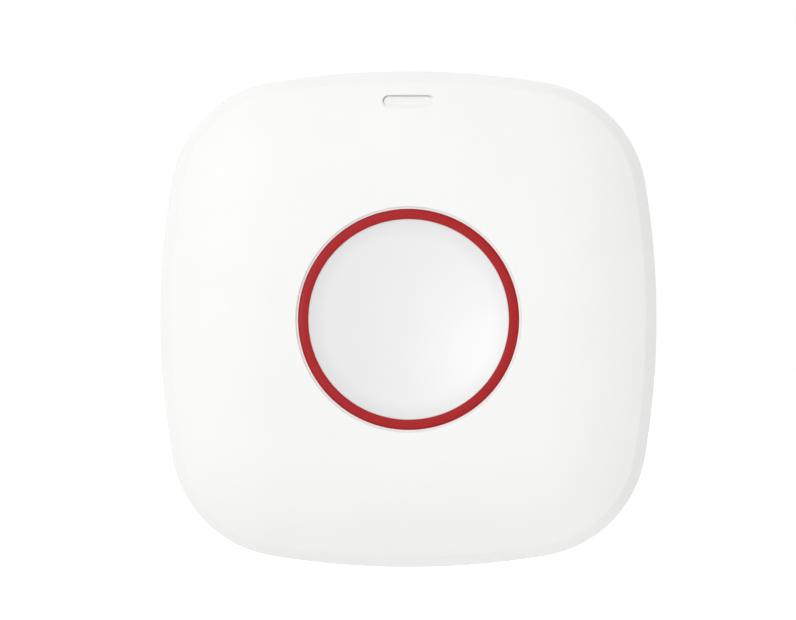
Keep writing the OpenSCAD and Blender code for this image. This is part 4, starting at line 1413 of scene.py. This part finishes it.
class PANIC_OT_circuit_board(bpy.types.Operator):
    """Circuit board with its tracks and plated holes"""

    bl_idname = "panic_button.circuit_board"
    bl_label = "Circuit board"

    def execute(self, context):
        plan = Plan(context.scene)
        tints = palette(context)
        skin, cut, ring = Skin(), Skin(), Skin()
        edges = [(BOARD_INSET + inset, z) for inset, z in block_profile(plan.board, plan.board_top, 0.08)]
        skin.pad(plan.outline, edges)
        through = [(0, plan.board - 1.0), (0, plan.board_top + 1.0)]
        notch = plan.pillar - PILLAR_R - 0.4 + plan.half / 2
        for x, y in CORNERS:
            cut.pad(box_shape(plan.half, plan.half, 0.5, (x * notch, y * notch)), through)
        for spot in plan.post_spots:
            cut.pad(disc_shape(1.0, spot, 40), through)
        made = skin.piece("board_blank", tints.mask, cut=[cut])
        place(made, "housing", "board", "circuit_board")
        top = plan.board_top + 0.01
        paths = [[(x, y, top) for x, y in path] for path in TRACKS]
        width = mm(context.scene.panic_inside.track_width)
        place(strands("board_tracks", paths, width / 2, tints.track, 0.05), "housing", "board")
        ring.sleeve([(0.16, 0.0), (0.38, 0.0), (0.38, 0.04), (0.34, 0.06), (0.2, 0.06), (0.16, 0.04)], 20)
        spots = [(*end, plan.board_top) for path in TRACKS for end in (path[0], path[-1])]
        place(repeat("board_vias", spots, [(ring, (), tints.gold)]), "housing", "contact_metal")
        return {"FINISHED"}


class PANIC_OT_chips(bpy.types.Operator):
    """Control chip, crystal, capacitors and radio module"""

    bl_idname = "panic_button.chips"
    bl_label = "Chips"

    def execute(self, context):
        plan = Plan(context.scene)
        tints = palette(context)
        self.chip(plan.board_top, tints)
        self.crystal(plan.board_top, tints)
        self.capacitors(plan, tints)
        self.radio(plan.board_top, tints)
        return {"FINISHED"}

    def chip(self, low, tints):
        """Control chip with its dimple and a row of contacts on each side."""
        skin, cut, pad = Skin(), Skin(), Skin()
        block(skin, (5.0, 5.0), (-CHIP_X, 0.0), low + 0.02, low + 0.9, 0.08, 0.15)
        dimple = disc_shape(0.4, (-CHIP_X - 1.7, 1.7), 32)
        cut.pad(dimple, [(0.15, low + 0.8), (0, low + 0.85), (-0.1, low + 1.0)])
        place(skin.piece("chip_body", tints.black, cut=[cut]), "housing", "black_plastic", "control_chip")
        block(pad, (0.3, 0.3), (0.0, 0.0), 0.0, 0.12, 0.03, 0.05)
        reach = 2.42
        steps = [-1.75 + 0.5 * i for i in range(8)]
        spots = [(-CHIP_X + side * reach, step, low) for side in SIDES for step in steps]
        spots += [(-CHIP_X + step, side * reach, low) for side in SIDES for step in steps]
        place(repeat("chip_pads", spots, [(pad, (), tints.tin)]), "housing", "shield")

    def crystal(self, low, tints):
        skin, can = Skin(), Skin()
        at = (CHIP_X, 0.0)
        skin.pad(pill_shape(5.0, 3.2, at, True), block_profile(low, low + 0.3, 0.1))
        can.pad(pill_shape(4.5, 2.7, at, True), block_profile(low + 0.1, low + 1.2, 0.25))
        place(skin.piece("crystal_can", tints.nickel, joined=[can]), "housing", "shield", "crystal")

    def capacitors(self, plan, tints):
        body, ends = Skin(), Skin()
        block(body, (1.2, 0.76), (0.0, 0.0), 0.02, 0.78, 0.05)
        for side in SIDES:
            block(ends, (0.36, 0.8), (side * 0.62, 0.0), 0.0, 0.8, 0.08)
        spots = [(i * 3.2, plan.half - 9.0, plan.board_top) for i in range(-2, 3)]
        made = repeat("capacitor_row", spots, [(body, (), tints.ceramic), (ends, (), tints.tin)])
        place(made, "housing", "capacitor", "chip_capacitors")

    def radio(self, low, tints):
        """Radio board with its screening can, side contacts and printed aerial."""
        x, y = RADIO_SPOT
        skin, can, cut, contact = Skin(), Skin(), Skin(), Skin()
        block(skin, (9.0, 12.0), (x, y), low, low + 0.8, 0.06, 0.15)
        place(skin.piece("radio_board", tints.mask), "housing", "shield", "radio_module")
        block(can, (8.0, 9.1), (x, y - 0.95), low + 0.4, low + 2.0, 0.22, 0.45)
        for dx in (-2.6, 2.6):
            for dy in (-3.6, 1.7):
                cut.pad(disc_shape(0.3, (x + dx, y + dy), 24), [(0, low + 1.8), (0, low + 2.4)])
        place(can.piece("radio_can", tints.nickel, cut=[cut]), "housing", "shield")
        contact.pad(disc_shape(0.3, steps=20), block_profile(0.0, 0.84, 0.04))
        spots = [(x + side * 4.35, y - 5.2 + 1.27 * i, low) for side in SIDES for i in range(7)]
        place(repeat("radio_contacts", spots, [(contact, (), tints.gold)]), "housing", "contact_metal")
        start, step, top = x - 3.8, 0.76, low + 0.81
        path = [(start, y + 3.8, top)]
        for i in range(10):
            level = y + (5.5 if i % 2 == 0 else 4.3)
            path += [(start + step * i, level, top), (start + step * (i + 1), level, top)]
        place(strands("radio_aerial", [path], 0.16, tints.gold, 0.04), "housing", "contact_metal")


class PANIC_OT_switches(bpy.types.Operator):
    """Push switch, tamper switch, their plungers and the status light"""

    bl_idname = "panic_button.switches"
    bl_label = "Switches"

    def execute(self, context):
        plan = Plan(context.scene)
        tints = palette(context)
        self.push_switch(plan.board_top, tints)
        self.tamper_switch(plan, tints)
        self.light(plan, tints)
        return {"FINISHED"}

    def push_switch(self, low, tints):
        """Switch under the button, with its cover plate, studs, leads and plunger."""
        base, bore, plate, stud, lead, pin = (Skin() for _ in range(6))
        middle = (0.0, 0.0)
        plate_low = low + 2.05
        block(base, (6.0, 6.0), middle, low, plate_low, 0.1, 0.25)
        bore.pad(disc_shape(1.8, steps=48), [(0, low + 0.5), (0, low + 3.0)])
        place(base.piece("switch_base", tints.black, cut=[bore]), "housing", "black_plastic", "switch_body")
        block(plate, (5.9, 5.9), middle, plate_low, low + 2.3, 0.05, 0.3)
        place(plate.piece("switch_plate", tints.nickel, cut=[bore]), "housing", "shield")
        stud.pad(disc_shape(0.42, steps=24), block_profile(0.0, 0.2, 0.1))
        spots = [(x * 2.3, y * 2.3, low + 2.2) for x, y in CORNERS]
        place(repeat("switch_studs", spots, [(stud, (), tints.black)]), "housing", "black_plastic")
        block(lead, (1.2, 0.7), middle, 0.0, 0.25)
        spots = [(x * 2.9, y * 2.0, low) for x, y in CORNERS]
        place(repeat("switch_leads", spots, [(lead, (), tints.tin)]), "housing", "shield")
        pin_low, pin_r = PIN_TOP - 2.0, 1.7
        profile = [(0.0, pin_low, 0), (pin_r, pin_low, 0.15), (pin_r, PIN_TOP, 0.3), (0.0, PIN_TOP, 0)]
        pin.turned(soften(profile), 64)
        place(pin.piece("switch_pin", tints.black), "switch_plunger", "black_plastic", "switch_plunger")

    def tamper_switch(self, plan, tints):
        """Switch at the board's back, with the plunger that feels the wall plate."""
        at = plan.tamper
        skin, bore, rod = Skin(), Skin(), Skin()
        top = plan.board
        block(skin, (5.0, 5.0), at, top - 2.2, top, 0.12, 0.25)
        bore.pad(disc_shape(1.0, at, 40), [(-0.2, top - 2.4), (0, top - 2.0), (0, top - 0.6)])
        place(skin.piece("tamper_base", tints.black, cut=[bore]), "housing", "black_plastic", "tamper_switch")
        tip, end = plan.plate_t + 0.05, 9.9
        profile = [
            (0.0, tip, 0),
            (ROD_R - 0.3, tip, 0.15),
            (ROD_R, tip + 0.3, 0.1),
            (ROD_R, COLLAR_LOW, 0),
            (ROD_R + 1.0, COLLAR_LOW, 0.1),
            (ROD_R + 1.0, COLLAR_HIGH, 0.1),
            (ROD_R, COLLAR_HIGH, 0),
            (ROD_R, end, 0.15),
            (0.0, end, 0),
        ]
        rod.turned(soften(profile), 56, at)
        place(rod.piece("tamper_pin", tints.black), "tamper_plunger", "black_plastic", "tamper_plunger")

    def light(self, plan, tints):
        """Status light: white base, tinned ends and a dome."""
        low = plan.board_top
        skin = Skin()
        block(skin, (3.0, 2.6), (0.0, plan.slot_y), low, low + 0.45, 0.06, 0.15)
        skin.paint = 1
        for side in SIDES:
            block(skin, (0.5, 1.8), (side * 1.45, plan.slot_y), low, low + 0.3, 0.05, 0.08)
        skin.paint = 2
        turns = [math.pi / 8 * i for i in range(4)]
        dome = [(math.cos(t), low + 0.4 + 0.5 * math.sin(t)) for t in turns]
        skin.turned([(0.0, low + 0.3), (1.0, low + 0.3), *dome, (0.0, low + 0.9)], 48, (0.0, plan.slot_y))
        made = skin.piece("status_light", tints.plate, tints.tin, tints.milk)
        place(made, "housing", "diffuser", "status_led")


class PANIC_OT_springs(bpy.types.Operator):
    """Return spring, tamper spring and coiled antenna"""

    bl_idname = "panic_button.springs"
    bl_label = "Springs and antenna"

    def execute(self, context):
        plan = Plan(context.scene)
        tints = palette(context)
        inside = context.scene.panic_inside
        self.return_spring(plan, inside.spring_turns, tints.zinc)
        self.tamper_spring(plan.tamper, inside.tamper_turns, tints.zinc)
        self.antenna(plan, inside.antenna_turns, tints.gold)
        return {"FINISHED"}

    def return_spring(self, plan, turns, finish):
        """Spring between the board and the button."""
        low, high = plan.board_top + 0.45, plan.cap_under - 0.45
        made = strands("return_coil", [coil(5.8, turns, low, high, 0.6)], 0.35, finish)
        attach(made, "housing")
        room = (plan.cap_under - plan.board_top) * MM
        1 - BUTTON_TRAVEL / room
        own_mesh(made)
        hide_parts("return_spring")

    def tamper_spring(self, at, turns, finish):
        """Spring between the tamper switch and its plunger's collar."""
        x, y = at
        wire_air = 0.23
        helix = coil(1.45, turns, COLLAR_HIGH + wire_air, TAMPER_UNDER - wire_air, 0.4)
        made = strands("tamper_coil", [[(x + px, y + py, z) for px, py, z in helix]], 0.18, finish)
        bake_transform(made)
        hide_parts("tamper_spring")

    def antenna(self, plan, turns, finish):
        """Wire helix beside the board's edge, halfway up to the face."""
        x, y, radius = plan.half - 11.0, -20.71, 1.8
        low = plan.board_top
        out = (low + plan.face_at(5.0) - plan.face_t) / 2
        path = [(x + radius, y, low), (x + radius, y, (low + out) / 2)]
        path += [(x + px, y + pz, out + py) for px, py, pz in coil(radius, turns, 0.0, 1.4 * turns)]
        place(strands("antenna_coil", [path], 0.35, finish), "housing", "contact_metal", "antenna")


class PANIC_OT_battery(bpy.types.Operator):
    """Coin cell and its two contact strips"""

    bl_idname = "panic_button.battery"
    bl_label = "Battery"

    def execute(self, context):
        plan = Plan(context.scene)
        tints = palette(context)
        self.cell(plan, tints)
        near, under = -plan.cell_r - 0.2, plan.board - SHEET_T / 2
        leg = [(near - 4.05, under, 0), (near, under, 0.45), (near, 8.05, 0)]
        self.contact("side_contact", leg, tints.gold, "positive_contact")
        tongue = [(-6.0, under, 0), (0.0, under, 2.0), (4.4, 10.2, 2.0), (6.0, 10.2, 0)]
        self.contact("end_contact", tongue, tints.gold, "negative_contact")
        return {"FINISHED"}

    def cell(self, plan, tints):
        """Coin cell: can, sealing ring and cap."""
        r, low, high = plan.cell_r, plan.cell, plan.cell_top
        step = high - 0.4
        skin = Skin()
        floor = step - 0.4
        can = [(0.0, low, 0), (r - 1.6, low, 0.2), (r - 1.3, low + 0.06, 0.2), (r - 0.9, low, 0.3)]
        can += [(r, low, 0.35), (r, step, 0.35), (r - 0.75, step - 0.02, 0.1)]
        can += [(r - 0.75, floor, 0.0), (0.0, floor, 0)]
        skin.turned(soften(can), LARGE_STEPS)
        skin.paint = 1
        root = step - 0.5
        seal = [(r - 1.5, root), (r - 0.7, root), (r - 0.75, step - 0.05), (r - 1.45, step)]
        skin.sleeve(seal, LARGE_STEPS)
        skin.paint = 0
        cap = [(0.0, root, 0), (r - 1.4, root, 0), (r - 1.4, high - 0.12, 0.1), (r - 1.9, high, 0.2)]
        cap += [(r - 3.2, high, 0.1), (r - 3.4, high - 0.06, 0.1), (0.0, high - 0.06, 0)]
        skin.turned(soften(cap), LARGE_STEPS)
        place(skin.piece("coin_battery", tints.spun, tints.rubber), "housing", "shield", "coin_cell")

    def contact(self, name, path, finish, node):
        skin = Skin()
        strip(skin, 4.0, SHEET_T, soften(path, 5))
        place(skin.piece(name, finish), "housing", "contact_metal", node)


class PANIC_OT_battery_door(bpy.types.Operator):
    """Bayonet battery door with its lugs, coin slot and mark"""

    bl_idname = "panic_button.battery_door"
    bl_label = "Battery door"

    def execute(self, context):
        plan = Plan(context.scene)
        skin, joined, cut = Skin(), Skin(), Skin()
        back, outer, inner = plan.back, plan.door_r - DOOR_AIR, plan.cell_r + 0.2
        profile = [
            (0.0, back, 0),
            (plan.door_r, back, 0.35),
            (plan.door_r, plan.floor, 0.1),
            (outer, plan.floor, 0.0),
            (outer, plan.lug_top, 0.1),
            (inner, plan.lug_top, 0.1),
            (inner, plan.floor, 0.2),
            (0.0, plan.floor, 0),
        ]
        skin.turned(soften(profile), LARGE_STEPS)
        for i in range(LUG_COUNT):
            joined.arc_ring(outer - 0.7, plan.lug_r, plan.lug, plan.lug_top, LUG_STEP * i, LUG_ARC, 0.15)
        cut.pad(pill_shape(15.0, 2.2), [(-0.3, back - 0.15), (0.0, back + 0.15), (0.08, back + 0.9)])
        dot = disc_shape(0.5, polar(outer - 1.4, DOOR_MARK), 28)
        cut.pad(dot, [(-0.1, back - 0.1), (0.1, back + 0.1), (0.3, back + 0.25)])
        made = skin.piece("coin_door", palette(context).case, joined=[joined], cut=[cut])
        place(made, "battery_door", "case_plastic", "battery_door")
        return {"FINISHED"}


class PANIC_OT_screws(bpy.types.Operator):
    """Housing screws and board screws, each tightened to its own angle"""

    bl_idname = "panic_button.screws"
    bl_label = "Screws"

    def execute(self, context):
        plan = Plan(context.scene)
        pitch = mm(context.scene.panic_inside.thread_pitch)
        zinc = palette(context).zinc
        seat = plan.screw_seat
        skin, cut = self.screw(2.2, seat - 1.5, seat, 1.25, seat + HOUSING_SCREW_L, pitch)
        spots = [(x, y, 0.0) for x, y in plan.pillar_spots]
        made = repeat("case_screws", spots, [(skin, [cut], zinc)], math.pi / 2)
        place(made, "housing", "steel", "housing_screws")
        seat = plan.board
        skin, cut = self.screw(1.8, seat - 1.2, seat, 0.9, seat + BOARD_SCREW_L, 0.75 * pitch)
        spots = [(x, y, 0.0) for x, y in plan.post_spots]
        made = repeat("mount_screws", spots, [(skin, [cut], zinc)], math.pi / 2, 8)
        place(made, "housing", "steel", "board_screws")
        return {"FINISHED"}

    def screw(self, head_r, low, seat, shank_r, tip, pitch):
        """Pan-head screw with a thread, and the cutter of its cross recess."""
        steps = 28
        rings_per_turn = 7
        flank = 0.32
        core = 0.72 * shank_r
        skin, cut = Skin(), Skin()
        head = soften([(0.0, low, 0), (head_r, low, 0.5), (head_r, seat, 0.12), (core, seat, 0)], 5)
        loops = skin.stack(lambda r: circle(r, steps), head[1:])
        end = tip - shank_r / 2
        count = int((end - seat) / pitch * rings_per_turn)
        for i in range(1, count + 1):
            z = seat + (end - seat) * i / count
            ring = []
            for k in range(steps):
                phase = ((z - seat) / pitch + k / steps) % 1.0
                r = core + (shank_r - core) * max(0.0, 1 - abs(phase - 0.5) / flank)
                ring.append((*polar(r, 360 * k / steps), z))
            loops.append(skin.loop(ring))
        skin.solid(loops + skin.stack(lambda r: circle(r, steps), [(0.3 * shank_r, tip)]))
        arm, half = 0.6 * head_r, 0.22
        cross = [(arm, -half), (arm, half), (half, half), (half, arm), (-half, arm), (-half, half)]
        cross += [(-x, -y) for x, y in cross]
        levels = [(1.15, low - 0.1), (1.0, low + 0.1), (0.6, low + 0.75)]
        cut.pad(lambda size: [(x * size, y * size) for x, y in cross], levels)
        return skin, cut


# Stage


class PANIC_OT_studio(bpy.types.Operator):
    """Pale floor, soft lights, white surround and camera"""

    bl_idname = "panic_button.studio"
    bl_label = "Studio"

    def execute(self, context):
        scene = context.scene
        s = scene.panic_studio
        scene.view_settings.view_transform = "Standard"
        self.surround(scene, s)
        self.floor(s)
        middle = Vector((0.0, -Plan(scene).rim * MM, 0.0))
        self.lamp("side_light", middle, Vector((-0.373, -0.915, 0.15)), (0.5, 0.3), s.side)
        self.lamp("top_light", middle, Vector((-0.14, -0.49, 0.86)), (0.6, 0.6), s.top)
        self.lamp("back_light", middle, Vector((0.45, 0.75, 0.5)), (0.6, 0.6), s.back)
        camera = bpy.data.cameras.new("camera")
        camera.lens = s.lens
        camera.sensor_width = 36.0
        away = s.view_width * s.lens / camera.sensor_width
        made = new_object("camera", camera)
        made.location = (s.view_x, middle.y - away, s.view_z)
        made.rotation_euler = (math.radians(90), 0.0, 0.0)
        scene.camera = made
        return {"FINISHED"}

    def surround(self, scene, s):
        """Even light for the object, and plain white for what sees past it."""
        world = bpy.data.worlds.new("surround")
        world.use_nodes = True
        scene.world = world
        w = Wiring(world.node_tree)
        world.node_tree.nodes.clear()
        dot = {"operation": "DOT_PRODUCT"}
        way = w.node("ShaderNodeTexCoord", out="Generated")
        right = w.node("ShaderNodeVectorMath", dot, {0: way, 1: (0.94, 0.1, -0.3)}, "Value")
        even = s.ambient * (1.0 - s.shade * w.smooth(right, 0.2, 0.85))
        strength = even + (1.0 - even) * w.seen()
        white = w.node("ShaderNodeBackground", None, {"Color": (1.0, 1.0, 1.0, 1.0), "Strength": strength})
        w.node("ShaderNodeOutputWorld", None, {"Surface": white})

    def floor(self, s):
        """Wide pale sheet that shows white to the camera where nothing shades it."""
        mesh = bpy.data.meshes.new("floor")
        work = bmesh.new()
        bmesh.ops.create_grid(work, x_segments=24, y_segments=24, size=6.0)
        work.to_mesh(mesh)
        work.free()
        made = new_object("floor", mesh)
        made.location = (0.0, 0.0, -s.floor_drop)
        f = Finish("floor_white")
        sheet = f.node("ShaderNodeBsdfDiffuse", None, {"Color": tinted(s.floor_white, 1.0)})
        reach = f.node("ShaderNodeVectorMath", {"operation": "LENGTH"}, {0: f.spot}, "Value")
        lift = s.floor_glow + 0.6 * f.smooth(reach, 0.05, 0.25)
        glow = f.node("ShaderNodeEmission", None, {"Strength": f.seen() * lift})
        surface = f.node("ShaderNodeAddShader", None, {0: sheet, 1: glow})
        f.node("ShaderNodeOutputMaterial", None, {"Surface": surface})
        mesh.materials.append(f.material)

    def lamp(self, name, middle, way, size, level):
        """Soft light that gives a white sheet facing it this level."""
        away = 0.9
        light = bpy.data.lights.new(name, "AREA")
        light.shape = "RECTANGLE"
        light.size, light.size_y = size
        light.energy = level * math.pi * math.pi * away * away
        made = new_object(name, light)
        made.location = middle + way.normalized() * away
        made.rotation_mode = "QUATERNION"
        made.rotation_quaternion = (-way).to_track_quat("-Z", "Y")


class PANIC_PT_sidebar(bpy.types.Panel):
    """Settings and steps of the panic button"""

    bl_idname = "PANIC_PT_sidebar"
    bl_label = "Panic Button"
    bl_space_type = "VIEW_3D"
    bl_region_type = "UI"
    bl_category = "Panic Button"

    def draw(self, context):
        for step in STEPS:
            self.layout.operator(step.bl_idname)
        for name in SETTINGS:
            group = getattr(context.scene, name)
            box = self.layout.box()
            for key in group.__annotations__:
                box.prop(group, key)


SETTINGS = {
    "panic_case": CaseSizes,
    "panic_button": ButtonSizes,
    "panic_inside": InsideSizes,
    "panic_finish": FinishSettings,
    "panic_studio": StudioSettings,
}
STEPS = (
    PANIC_OT_studio,
    PANIC_OT_front_cover,
    PANIC_OT_rear_housing,
    PANIC_OT_wall_plate,
    PANIC_OT_seals,
    PANIC_OT_button_cap,
    PANIC_OT_button_ring,
    PANIC_OT_led_window,
    PANIC_OT_circuit_board,
    PANIC_OT_chips,
    PANIC_OT_switches,
    PANIC_OT_springs,
    PANIC_OT_battery,
    PANIC_OT_battery_door,
    PANIC_OT_screws,
)


def register():
    for cls in (*SETTINGS.values(), *STEPS, PANIC_PT_sidebar):
        bpy.utils.register_class(cls)
    for name, cls in SETTINGS.items():
        setattr(bpy.types.Scene, name, PointerProperty(type=cls))


def unregister():
    for name in SETTINGS:
        delattr(bpy.types.Scene, name)
    for cls in reversed((*SETTINGS.values(), *STEPS, PANIC_PT_sidebar)):
        bpy.utils.unregister_class(cls)


def main():
    register()
    for step in STEPS:
        family, name = step.bl_idname.split(".")
        getattr(getattr(bpy.ops, family), name)()


if __name__ == "__main__":
    main()
